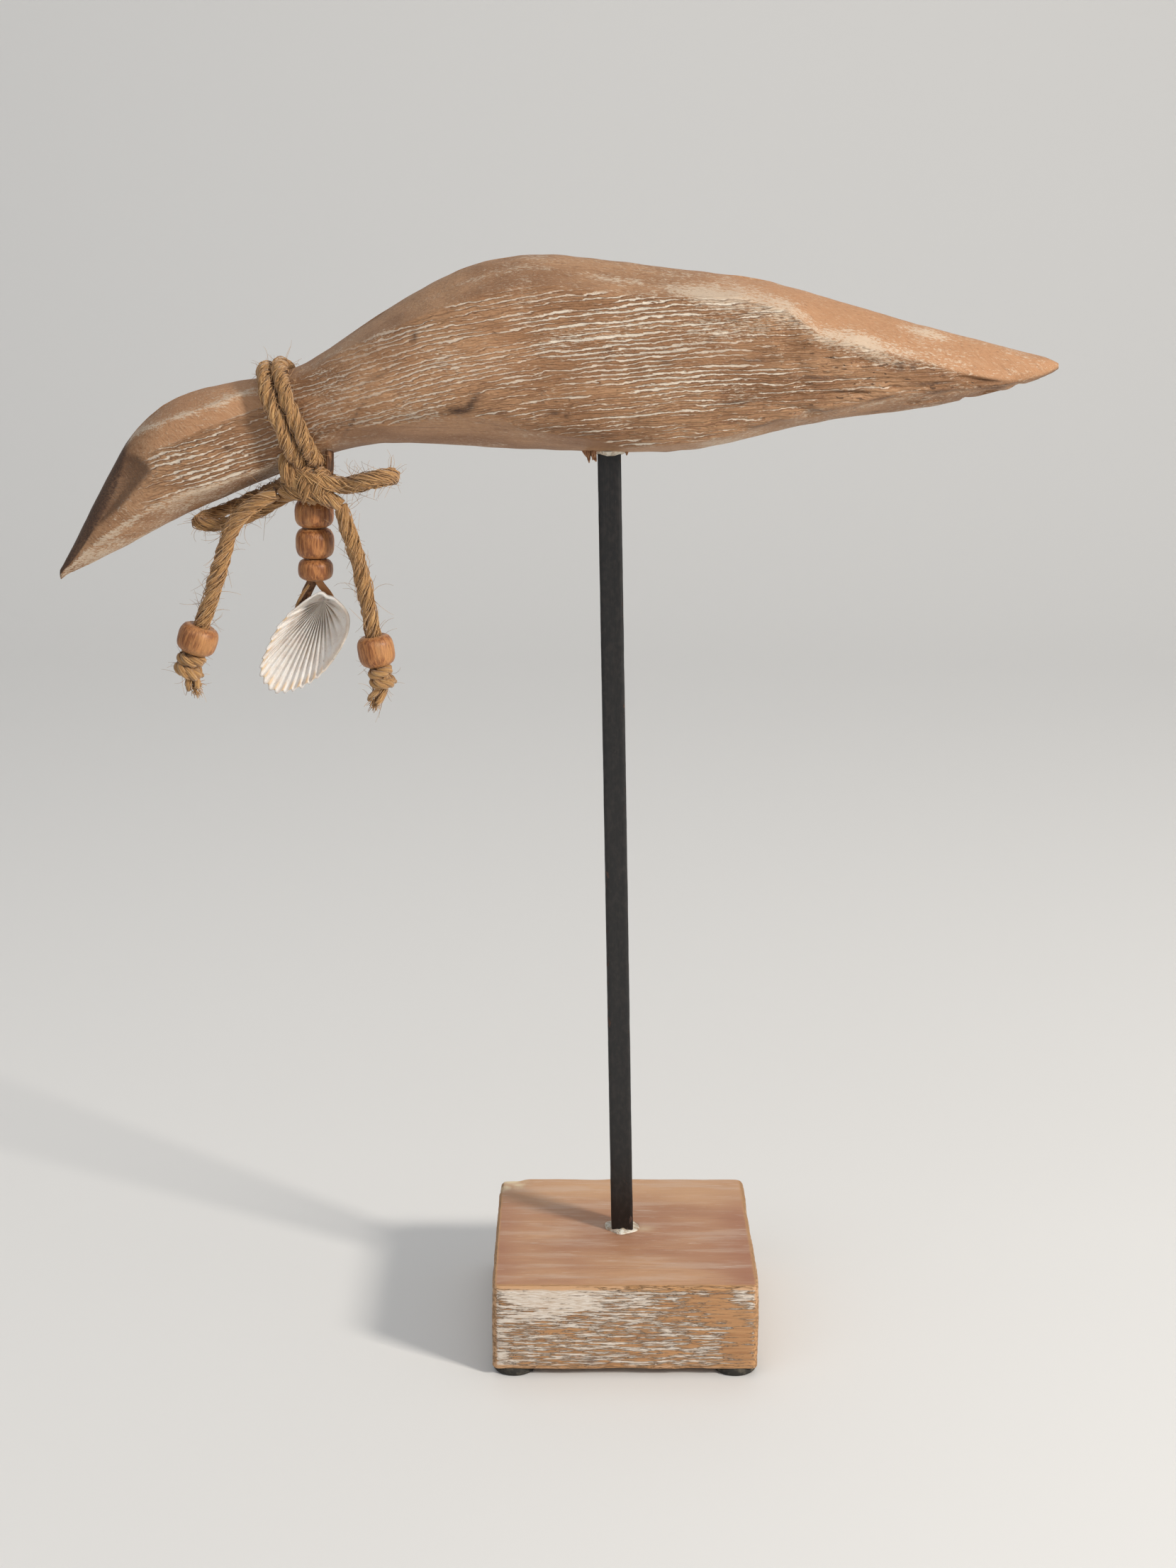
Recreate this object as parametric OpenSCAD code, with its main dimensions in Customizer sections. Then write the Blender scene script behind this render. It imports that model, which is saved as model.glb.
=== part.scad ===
// A shorebird carved from one block of wood, on a leaning square steel rod in a square wooden base.
// It wears a twine necklace tied in a bow, with two beaded tails and a pendant of three beads
// and a ribbed shell. Millimetres, +Z up, the bill towards -X and the wearer's bow towards -Y.

/* [Base] */
// Side of the square wooden block
base_side = 70; // [60:1:90]
// Height of the wooden block
block_h = 24; // [19:1:30]
// Radius of the block's four upright edges
block_edge_r = 2; // [1:0.5:6]
// Diameter of a foot pad
foot_d = 11.5; // [8:0.5:16]
// Height of a foot pad
foot_h = 2; // [1:0.5:4]
// Distance from a foot pad's centre to the block's two nearest sides
foot_inset = 6; // [6:0.5:14]

/* [Rod] */
// Side of the square rod
rod_side = 6; // [4:0.5:7]
// Height of the rod between the base and the bird's belly
rod_free = 211.5; // [140:0.5:240]
// Lean of the rod towards the bill, in degrees
rod_lean = 1.35; // [0:0.05:2]
// Distance of the rod's foot from the block's middle, to the right and towards the back
rod_foot = [-0.3, 1.5]; // [-4:0.1:4]
// Depth of the rod's socket in the base
base_socket = 18; // [10:1:18]
// Depth of the rod's socket in the bird
bird_socket = 24; // [12:1:28]

/* [Bird] */
// Width of the body at its widest
body_w = 42; // [38:1:48]
// Squareness of the body's cross-section, where 2 is an ellipse
body_square = 2.4; // [2:0.1:2.8]

/* [Necklace] */
// Diameter of the jute twine
twine_d = 3.6; // [3:0.1:4]
// Outer radius of the bow's knot
knot_r = 4; // [3.6:0.1:4.2]
// Diameter and height of the bead on the left tail
left_bead = [10.2, 7.2]; // [6:0.1:11]
// Diameter and height of the bead on the right tail
right_bead = [9.4, 7.8]; // [6:0.1:11]
// Radius and height of the stop knot on the left tail
left_stop = [3.8, 6.4]; // [3:0.1:5]
// Radius and height of the stop knot on the right tail
right_stop = [3.4, 5.6]; // [3:0.1:5]

/* [Pendant] */
// Diameter of the doubled lace through the pendant's beads
lace_d = 3; // [2:0.1:3]
// Diameter and height of the pendant's top bead
top_bead = [9.9, 7.1]; // [6:0.1:10]
// Diameter and height of the pendant's middle bead
middle_bead = [9.8, 7.5]; // [6:0.1:10]
// Diameter and height of the pendant's bottom bead
bottom_bead = [8.9, 5.4]; // [5:0.1:10]
// Size of the shell, where 1 is 29 mm from its beak to its far edge
shell_size = 1; // [0.7:0.05:1.1]
// Depth of the shell, which hangs with its hollow side to the front
shell_depth = 6.5; // [4:0.5:8]

/* [Hidden] */

$fn = 64;
gap = 0.3;           // between pieces that move on each other
twine_r = twine_d / 2;
bead_barrel = 0.28;    // how far a bead's ends draw in, as a share of its radius
bead_bands = 3;        // of its side, above and below its middle
block_z = foot_h;
block_top = block_z + block_h;
socket_r = rod_side / sqrt(2) + 0.2;
glue_h = 1.4;        // a glue collar's height outside its socket
glue_r = socket_r + 2;
bird_z = block_top + rod_free;

// The bird from bill to tail: [x, top, bottom, half width as a share of half the body's width].
// x is from the base's centre, and the heights are from the belly where the rod enters it.
STATIONS = [
    [-145, -30.6, -32.6, 0.06], [-140, -22, -30, 0.16], [-134, -10.6, -27, 0.28],
    [-127, 1.6, -23.6, 0.4], [-121, 8.3, -20.2, 0.49], [-114, 13, -16.8, 0.55],
    [-106, 15.9, -13.2, 0.58], [-98, 17.4, -9.8, 0.56], [-90, 18.6, -6.4, 0.53],
    [-82, 21.5, -3, 0.57], [-73, 27, 0.3, 0.7], [-62, 34.4, 2.4, 0.84],
    [-50, 41.4, 2.3, 0.94], [-36, 46.9, 1.1, 0.99], [-20, 48.6, 0.4, 1],
    [0, 46.4, 0, 0.98], [18, 44.6, 1.1, 0.92], [35, 42.2, 5, 0.83],
    [52, 37.2, 8.6, 0.7], [70, 32.3, 10.8, 0.55], [86, 28.4, 14, 0.4],
    [98, 25.2, 17.3, 0.26], [104, 23.9, 19.4, 0.15], [107, 22.6, 21.2, 0.06]
];
LAST = len(STATIONS) - 1;
section_points = 28;  // round the bird
steps = 2;            // sections between two stations

// The frame's origin is under the middle of the whole figure, so the base stands off it in X.
base_x = -(STATIONS[0].x + STATIONS[LAST].x) / 2;

// The necklace. Its places are in the bird's own frame, as the stations are.
neck_slant = 18.8;            // of the neck's axis, in degrees
neck_turns_x = [-86.5, -82.7]; // where the two turns cross the neck's axis
knot_centre = [-79, -8.5, -7.5];
knot_turns = 4;
LOOP_LEFT = [
    [-84.5, -7, -6.2], [-89, -2.6, -8.6], [-95, 2, -12.2], [-101, 4.6, -15.4],
    [-106, 4.2, -17.2], [-109, 1.4, -17.8], [-109.2, -1.8, -18], [-106, -3.9, -17.8],
    [-100, -3.6, -17], [-94, -3.7, -14.8], [-89, -4.8, -12.1], [-84.5, -7.4, -10.2]
];
LOOP_RIGHT = [
    [-75, -10.5, -7.2], [-70.5, -10.6, -7], [-66, -12.8, -5.8], [-61.5, -12.4, -5],
    [-59.3, -9, -5.2], [-61.5, -5.4, -6.2], [-66, -4.6, -7.2], [-70.5, -6.6, -7.9],
    [-75, -6.5, -7.8]
];
left_bend = [-99.8, -8.5, -18.5];     // below its bend a tail is straight, down to its stop knot
left_stop_at = [-111.6, -8.5, -53.4];
right_bend = [-67.7, -8.5, -29];
right_stop_at = [-63, -8.5, -56.4];
TAIL_LEFT = [
    [-88.5, -8.5, -9.5], [-95, -8.5, -13], left_bend, between(left_bend, left_stop_at, 1 / 3),
    between(left_bend, left_stop_at, 2 / 3), left_stop_at, [-110.4, -8.5, -59.4]
];
TAIL_RIGHT = [
    [-72.5, -8.5, -12.6], [-70.5, -8.5, -19.5], right_bend,
    between(right_bend, right_stop_at, 1 / 2), right_stop_at, [-64.6, -8.5, -63]
];

// The pendant hangs from the neck's rear turn, behind the knot.
pendant_x = -79.7;
pendant_y = -2.4;
pendant_pivot_z = -8.6;
hanger = [3, 1.6];            // the lace's width and thickness above the pivot
hanger_top_z = -3;
top_bead_z = -11.8;           // the top bead's upper face
middle_bead_z = top_bead_z - top_bead[1] - gap;
bottom_bead_z = middle_bead_z - middle_bead[1] - gap;
lace_end_z = bottom_bead_z - bottom_bead[1];
strand_r = 0.9;
strand_top_z = lace_end_z - 1.4;
LACE_LEFT = [
    [-80.8, pendant_y, strand_top_z], [-82.4, 0, -38], [-82.9, 2.2, -42], [-81.9, 1.6, -46]
];
LACE_RIGHT = [
    [-78.6, pendant_y, strand_top_z], [-76.3, 0, -37.6], [-76.2, 2.2, -42], [-78.8, 1.6, -46]
];
lace_knot_at = [-80.4, 1.4, -46.6];
lace_knot_r = 2;

shell_beak = [-79, -6.5, -34.6];
shell_turn = 26.7;            // of the shell's length from the vertical, towards the bill
// The shell's lopsided outline from its beak: along the shell, and across it to the right.
SHELL_EDGE = [
    [0, 0], [-0.4, 3], [-0.4, 5.8], [2, 10.4], [8, 12.2], [17.4, 11], [24.2, 7.6], [28.8, 2],
    [27.2, -2.8], [23.6, -4.9], [13.5, -5.3], [6.9, -3.5]
];
shell_peak = [1.8, 2.4];      // where the ribs start, along the shell and across it
shell_middle = [13.5, 3.4];   // the hollow is the dome drawn in towards this point
shell_hollow = 0.91;          // the hollow's outline as a share of the outside
shell_wall = 0.85;            // the hollow's height as a share of the outside
shell_rays = 36;
shell_rings = 7;

function between(a, b, share) = a + (b - a) * share;
function unit(v) = v / norm(v);
function across(n, t) = unit(n - (n * t) * t);
function power(v, p) = sign(v) * pow(abs(v), p);

// A smooth curve through the stations.
function slope(i, k) =
    let (a = STATIONS[max(i - 1, 0)], b = STATIONS[min(i + 1, LAST)]) (b[k] - a[k]) / (b.x - a.x);
function smooth(i, k, s) =
    let (a = STATIONS[i], b = STATIONS[i + 1], d = b.x - a.x)
    a[k] * (1 + 2 * s) * pow(1 - s, 2) + slope(i, k) * d * s * pow(1 - s, 2)
    + b[k] * s * s * (3 - 2 * s) + slope(i + 1, k) * d * s * s * (s - 1);
function station(i, s) = [between(STATIONS[i].x, STATIONS[i + 1].x, s), for (k = [1:3]) smooth(i, k, s)];
function station_at(x) =
    let (i = max([for (i = [0:LAST - 1]) if (STATIONS[i].x <= x) i]), a = STATIONS[i].x)
    station(i, (x - a) / (STATIONS[i + 1].x - a));
// A point of the cross-section at angle a, standing off the surface by extra.
function on_section(row, a, extra = 0) = [
    row.x,
    (row[3] * body_w / 2 + extra) * power(cos(a), 2 / body_square),
    (row[1] + row[2]) / 2 + ((row[1] - row[2]) / 2 + extra) * power(sin(a), 2 / body_square)
];
function section(row) = [
    for (k = [0:section_points - 1]) on_section(row, 360 * k / section_points)
];

// A turn of twine square across the slanting neck: its height gives its x, and that its section.
function neck_point(x, a, off) =
    let (
        row = station_at(x),
        middle = (row[1] + row[2]) / 2,
        guess = on_section(row, a, off).z,
        at = x - (guess - middle) * tan(neck_slant)
    ) on_section(station_at(at), a, off);

// Rings of n points round a route, carried along it without twist.
function directions(route, closed) =
    let (m = len(route)) [
        for (i = [0:m - 1]) unit(
            closed || i < m - 1 ? unit(route[(i + 1) % m] - route[i]) + (
                closed || i > 0 ? unit(route[i] - route[(i + m - 1) % m]) : [0, 0, 0]
            ) : unit(route[i] - route[i - 1])
        )
    ];
function carried(dirs, first) = [
    for (
        i = 0, n = across(first, dirs[0]);
        i < len(dirs);
        i = i + 1, n = i < len(dirs) ? across(n, dirs[i]) : n
    ) n
];
function rings_round(route, r, n, first, closed) =
    let (dirs = directions(route, closed), sides = carried(dirs, first)) [
        for (i = [0:len(route) - 1], k = [0:n - 1])
        let (a = 360 * k / n) route[i] + r * (cos(a) * sides[i] + sin(a) * cross(dirs[i], sides[i]))
    ];

// A closed skin over m rings of n points each; closed joins the last ring to the first.
module skin(points, m, n, closed = false) {
    sides = [
        for (i = [0:m - (closed ? 1 : 2)], k = [0:n - 1], half = [0, 1])
        let (a = i * n, b = (i + 1) % m * n, l = (k + 1) % n)
        half == 0 ? [a + k, b + k, b + l] : [a + k, b + l, a + l]
    ];
    ends = closed ? [] : [[for (k = [0:n - 1]) k], [for (k = [n - 1:-1:0]) (m - 1) * n + k]];
    polyhedron(points, concat(sides, ends));
}

module tube(route, r, first, closed = false, n = 8) {
    skin(rings_round(route, r, n, first, closed), len(route), n, closed);
}

module at_stand() { translate([base_x, 0, 0]) children(); }
module at_bird() { translate([base_x, rod_foot.y, bird_z]) children(); }
// The rod's own frame: Z along the rod, from the base's top.
module along_rod() { translate([rod_foot.x, rod_foot.y, block_top]) rotate([0, -rod_lean, 0]) children(); }
module along(place, direction) {
    translate(place) rotate([0, acos(direction.z), atan2(direction.y, direction.x)]) children();
}

module rounded_block(side, h, r) {
    inner = side - 2 * r;
    translate([-side / 2, -inner / 2, 0]) cube([side, inner, h]);
    translate([-inner / 2, -side / 2, 0]) cube([inner, side, h]);
    for (x = [-inner / 2, inner / 2], y = [-inner / 2, inner / 2])
        translate([x, y, 0]) cylinder(h = h, r = r);
}

module base_block() {
    color("tan") at_stand() difference() {
        translate([0, 0, block_z]) rounded_block(base_side, block_h, block_edge_r);
        along_rod() translate([0, 0, -base_socket]) cylinder(h = base_socket + 2, r = socket_r);
    }
}

module foot_pad(x, y) {
    out = base_side / 2 - foot_inset;
    color("dimgray") at_stand() translate([x * out, y * out, 0]) cylinder(h = foot_h, d = foot_d);
}

module rod_bar() {
    length = base_socket + rod_free / cos(rod_lean) + bird_socket;
    along_rod() translate([-rod_side / 2, -rod_side / 2, -base_socket]) cube([rod_side, rod_side, length]);
}

module support_rod() { color("#2b2622") at_stand() rod_bar(); }

// The glue fills the round socket round the square rod and stands proud as a low collar.
module base_glue() {
    color("beige") at_stand() difference() {
        union() {
            along_rod() translate([0, 0, -base_socket]) cylinder(h = base_socket, r = socket_r);
            translate([rod_foot.x, rod_foot.y, block_top]) cylinder(h = glue_h, r1 = glue_r, r2 = socket_r);
        }
        rod_bar();
    }
}

module bird_glue() {
    reach = rod_free / cos(rod_lean);
    color("beige") at_stand() difference() {
        along_rod() union() {
            translate([0, 0, reach]) cylinder(h = bird_socket, r = socket_r);
            translate([0, 0, reach - glue_h]) cylinder(h = glue_h + 0.6, r1 = socket_r, r2 = glue_r);
        }
        rod_bar();
    }
}

module bird_carving() {
    rows = [
        for (i = [0:LAST - 1], s = [0:steps - 1]) station(i, s / steps),
        STATIONS[LAST]
    ];
    color("burlywood") difference() {
        at_bird() skin([for (row = rows) each section(row)], len(rows), section_points);
        at_stand() along_rod() translate([0, 0, rod_free - 4]) cylinder(h = bird_socket + 4, r = socket_r);
    }
}

module neck_turn(x) {
    turn_points = 28;
    route = [
        for (k = [0:turn_points - 1]) neck_point(x, 360 * k / turn_points, twine_r + 0.1)
    ];
    color("peru") at_bird() tube(route, twine_r, [1, 0, 0], closed = true);
}

// Turns of twine side by side round the knot's own core.
module bow_knot() {
    color("chocolate") at_bird() translate(knot_centre) rotate([0, 90, 0]) rotate_extrude() {
        for (k = [0:knot_turns - 1]) translate([knot_r - twine_r, (k - (knot_turns - 1) / 2) * twine_d])
            circle(d = twine_d);
        core = (knot_turns - 1) * twine_d;
        translate([0, -core / 2]) square([knot_r - twine_r, core]);
    }
}

module bow_loop_left() { color("peru") at_bird() tube(LOOP_LEFT, twine_r, [0, 0, 1]); }
module bow_loop_right() { color("peru") at_bird() tube(LOOP_RIGHT, twine_r, [0, 0, 1]); }
module tail_left() { color("peru") at_bird() tube(TAIL_LEFT, twine_r, [0, 1, 0]); }
module tail_right() { color("peru") at_bird() tube(TAIL_RIGHT, twine_r, [0, 1, 0]); }

// A barrel bead on its own axis, its ends at 0 and -h, round a cord of radius cord_r.
module bead(size, cord_r) {
    r = size[0] / 2;
    h = size[1];
    bore_r = cord_r + gap;
    side = [
        for (k = [-bead_bands:bead_bands])
        let (level = k / bead_bands) [r * (1 - bead_barrel * level * level), (level - 1) * h / 2]
    ];
    rotate_extrude() polygon(concat([[bore_r, 0], [bore_r, -h]], side));
}

// Two turns of twine round the tail.
module stop_knot(size) {
    t = size[1] / 4;
    rotate_extrude() {
        for (side = [-1, 1]) translate([size[0] - t, side * t]) circle(r = t);
        translate([0, -t]) square([size[0] - t, 2 * t]);
    }
}

module tail_bead(bend, stop_at, size, stop) {
    up = unit(bend - stop_at);
    color("sienna") at_bird()
        along(stop_at + up * (stop[1] / 2 + gap + size[1]), up) bead(size, twine_r);
}

module tail_stop(bend, stop_at, stop) {
    color("peru") at_bird() along(stop_at, unit(bend - stop_at)) stop_knot(stop);
}

module lace_hanger() {
    bottom = pendant_pivot_z + lace_d / 2 + 0.4;
    color("saddlebrown") at_bird()
        translate([pendant_x - hanger[0] / 2, pendant_y - hanger[1] / 2, bottom])
        cube([hanger[0], hanger[1], hanger_top_z - bottom]);
}

module pendant_lace() {
    color("saddlebrown") at_bird() translate([pendant_x, pendant_y, 0]) {
        translate([0, 0, pendant_pivot_z]) sphere(d = lace_d);
        translate([0, 0, lace_end_z]) cylinder(h = pendant_pivot_z - lace_end_z, d = lace_d);
    }
}

module pendant_bead(size, z) {
    color("sienna") at_bird() translate([pendant_x, pendant_y, z]) bead(size, lace_d / 2);
}

module shell_lace(route) { color("saddlebrown") at_bird() tube(route, strand_r, [0, 1, 0]); }
module shell_lace_knot() {
    color("saddlebrown") at_bird() translate(lace_knot_at) sphere(r = lace_knot_r);
}

// A closed smooth curve through the outline's points, where s counts the points passed.
function shell_outline(s) =
    let (
        m = len(SHELL_EDGE),
        i = floor(s),
        f = s - i,
        p = [for (k = [-1:2]) SHELL_EDGE[(i + k + m) % m]]
    )
    (2 * p[1] + (p[2] - p[0]) * f + (2 * p[0] - 5 * p[1] + 4 * p[2] - p[3]) * f * f
    + (3 * p[1] - p[0] - 3 * p[2] + p[3]) * f * f * f) / 2;
// Along a ray from the ribs' start, the dome rises and falls.
function shell_height(s) =
    shell_depth * pow(1 - pow(s, 2.2), 0.7) * (0.65 + 0.35 * sin(90 * min(1, 2.5 * s)));
// A point of the dome in its own frame: along the shell, across it, and back from its rim.
function shell_point(s, ray, inner) =
    let (flat = between(shell_peak, shell_outline(ray * len(SHELL_EDGE) / shell_rays), s))
    concat(
        between(shell_middle, flat, inner ? shell_hollow : 1) * shell_size,
        [(inner ? shell_wall : 1) * shell_height(s)]
    );

module shell() {
    outside = [for (i = [1:shell_rings]) [i / shell_rings, false]];
    inside = [for (i = [shell_rings:-1:1]) [i / shell_rings, true]];
    rounds = concat(outside, inside);
    points = [for (q = rounds, k = [0:shell_rays - 1]) shell_point(q[0], k, q[1])];
    color("ivory") at_bird() translate(shell_beak) rotate([0, shell_turn, 0])
        multmatrix([[0, 1, 0, 0], [0, 0, 1, 0], [-1, 0, 0, 0]]) skin(points, len(rounds), shell_rays);
}

base_block();
foot_pad(-1, -1);  // foot_front_left
foot_pad(1, -1);  // foot_front_right
foot_pad(-1, 1);  // foot_rear_left
foot_pad(1, 1);  // foot_rear_right
base_glue();
support_rod();
bird_glue();
bird_carving();
neck_turn(neck_turns_x[0]);  // neck_turn_front
neck_turn(neck_turns_x[1]);  // neck_turn_rear
bow_knot();
bow_loop_left();
bow_loop_right();
tail_left();
tail_bead(left_bend, left_stop_at, left_bead, left_stop);  // tail_left_bead
tail_stop(left_bend, left_stop_at, left_stop);  // tail_left_stop
tail_right();
tail_bead(right_bend, right_stop_at, right_bead, right_stop);  // tail_right_bead
tail_stop(right_bend, right_stop_at, right_stop);  // tail_right_stop
lace_hanger();
pendant_lace();
pendant_bead(top_bead, top_bead_z);  // pendant_bead_top
pendant_bead(middle_bead, middle_bead_z);  // pendant_bead_middle
pendant_bead(bottom_bead, bottom_bead_z);  // pendant_bead_bottom
shell_lace(LACE_LEFT);  // shell_lace_left
shell_lace(LACE_RIGHT);  // shell_lace_right
shell_lace_knot();
shell();
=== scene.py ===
"""A carved shorebird on a rod and a block, with a twine necklace, beads and a shell."""
import math
import random

import bpy
import numpy as np
from mathutils import Matrix, Vector, noise
from mathutils.bvhtree import BVHTree


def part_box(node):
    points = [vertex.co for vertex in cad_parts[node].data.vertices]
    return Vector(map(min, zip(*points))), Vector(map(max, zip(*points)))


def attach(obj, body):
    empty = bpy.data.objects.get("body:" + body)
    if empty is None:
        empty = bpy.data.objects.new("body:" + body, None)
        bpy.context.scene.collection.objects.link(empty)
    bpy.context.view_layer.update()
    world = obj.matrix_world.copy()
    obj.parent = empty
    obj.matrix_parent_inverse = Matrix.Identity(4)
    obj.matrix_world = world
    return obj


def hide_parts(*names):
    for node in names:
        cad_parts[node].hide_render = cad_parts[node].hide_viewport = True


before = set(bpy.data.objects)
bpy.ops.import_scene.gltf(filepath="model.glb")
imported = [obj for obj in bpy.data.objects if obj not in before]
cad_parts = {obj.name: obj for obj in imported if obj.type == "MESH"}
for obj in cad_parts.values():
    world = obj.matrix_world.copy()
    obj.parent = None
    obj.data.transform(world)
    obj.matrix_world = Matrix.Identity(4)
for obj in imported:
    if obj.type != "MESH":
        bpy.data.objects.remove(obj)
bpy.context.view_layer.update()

MM = 0.001
ROOT = "root"

# Places in the bird's own frame are in millimetres: x and y from the base's centre and the bird's
# middle, and z from the belly where the rod enters it.
base_low, base_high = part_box("base_block")
bird_low, bird_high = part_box("bird_carving")
BILL_DROP = 32.6 * MM
BIRD = np.array([(base_low.x + base_high.x) / 2, (bird_low.y + bird_high.y) / 2, bird_low.z + BILL_DROP])


def at_bird(points):
    """Points of the bird's own frame, in the row frame."""
    return BIRD + MM * np.array(points, float)


# ---------------------------------------------------------------- camera

def add_camera():
    """A standing viewer's eye in front of the figure, looking a little down."""
    pitch, yaw, roll = math.radians(14.34), math.radians(0.434), math.radians(0.273)
    forward = Vector((
        math.sin(yaw) * math.cos(pitch), math.cos(yaw) * math.cos(pitch), -math.sin(pitch)
    ))
    level = Vector((math.cos(yaw), -math.sin(yaw), 0))
    upright = level.cross(forward)
    right = math.cos(roll) * level + math.sin(roll) * upright
    up = math.cos(roll) * upright - math.sin(roll) * level
    camera = bpy.data.objects.new("camera", bpy.data.cameras.new("camera"))
    camera.data.lens = 56.29
    camera.data.sensor_width = 36
    camera.data.clip_end = 20
    turn = Matrix((right, up, -forward)).transposed()
    camera.matrix_world = Matrix.Translation((0.0041, -0.6184, 0.3095)) @ turn.to_4x4()
    bpy.context.scene.collection.objects.link(camera)
    bpy.context.scene.camera = camera


add_camera()


# ---------------------------------------------------------------- materials

class Value:
    """A number, place or colour on its way through a material's nodes. It takes +, - and *."""

    def __init__(self, paint, socket):
        self.paint, self.socket = paint, socket

    def __add__(self, other):
        return self.paint.math("ADD", self, other)

    def __sub__(self, other):
        return self.paint.math("SUBTRACT", self, other)

    def __mul__(self, other):
        return self.paint.math("MULTIPLY", self, other)

    def __rsub__(self, other):
        return self.paint.math("SUBTRACT", other, self)

    def step(self, low, high):
        """0 below low and 1 above high, or the reverse, and smooth between."""
        inputs = {"Value": self, "From Min": low, "From Max": high}
        return self.paint.node("ShaderNodeMapRange", inputs, "Result", interpolation_type="SMOOTHSTEP")


class Paint:
    """A material, with one short method for each kind of node that it uses."""

    def __init__(self, name, roughness=0.6, **sockets):
        self.material = bpy.data.materials.new(name)
        self.material.use_nodes = True
        self.tree = self.material.node_tree
        self.shader = self.tree.nodes["Principled BSDF"]
        self.shader.inputs["Roughness"].default_value = roughness
        for key, value in sockets.items():
            self.shader.inputs[key.replace("_", " ")].default_value = value

    def feed(self, socket, value):
        if isinstance(value, Value):
            self.tree.links.new(value.socket, socket)
        else:
            socket.default_value = value

    def node(self, kind, inputs, out=0, **settings):
        made = self.tree.nodes.new(kind)
        for key, value in settings.items():
            setattr(made, key, value)
        for key, value in inputs.items():
            self.feed(made.inputs[key], value)
        return Value(self, made.outputs[out])

    def share(self, name):
        """A number stored on the mesh."""
        return self.node("ShaderNodeAttribute", {}, "Fac", attribute_name=name)

    def grain(self):
        """The place stored on the mesh, in millimetres along and across the grain."""
        return self.node("ShaderNodeAttribute", {}, "Vector", attribute_name="grain")

    def part(self, vector, axis):
        return self.node("ShaderNodeSeparateXYZ", {"Vector": vector}, axis)

    def noise(self, vector, along, across, detail=3, third=None, roughness=0.55, distortion=0.0):
        """Noise from about 0.3 to 0.7, with so many cells to the millimetre each way."""
        by = (along, across, across if third is None else third)
        scaled = self.node("ShaderNodeVectorMath", {0: vector, 1: by}, operation="MULTIPLY")
        return self.node("ShaderNodeTexNoise", {
            "Vector": scaled, "Scale": 1.0, "Detail": detail, "Roughness": roughness,
            "Distortion": distortion,
        }, "Fac")

    def math(self, operation, a, b=0.0, clamp=False):
        return self.node("ShaderNodeMath", {0: a, 1: b}, operation=operation, use_clamp=clamp)

    def without(self, share):
        """What a share leaves of 1, and never below 0."""
        return self.math("SUBTRACT", 1.0, share, clamp=True)

    def wave(self, turns):
        return self.math("COSINE", turns * (2 * math.pi))

    def mix(self, share, a, b):
        """Colour a, with this share of colour b over it."""
        made = self.tree.nodes.new("ShaderNodeMix")
        made.data_type = "RGBA"
        for socket, value in ((made.inputs[0], share), (made.inputs[6], a), (made.inputs[7], b)):
            self.feed(socket, (*value, 1) if isinstance(value, tuple) else value)
        return Value(self, made.outputs[2])

    def wear(self, *layers):
        """Relief from layers of a height between 0 and 1 and a depth in millimetres."""
        normal = None
        for height, depth in layers:
            inputs = {"Height": height, "Distance": depth * MM, "Strength": 1.0}
            if normal is not None:
                inputs["Normal"] = normal
            normal = self.node("ShaderNodeBump", inputs)
        return normal

    def finish(self, colour, normal=None, roughness=None):
        for key, value in (("Base Color", colour), ("Normal", normal), ("Roughness", roughness)):
            if value is not None:
                self.feed(self.shader.inputs[key], value)
        return self.material


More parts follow.
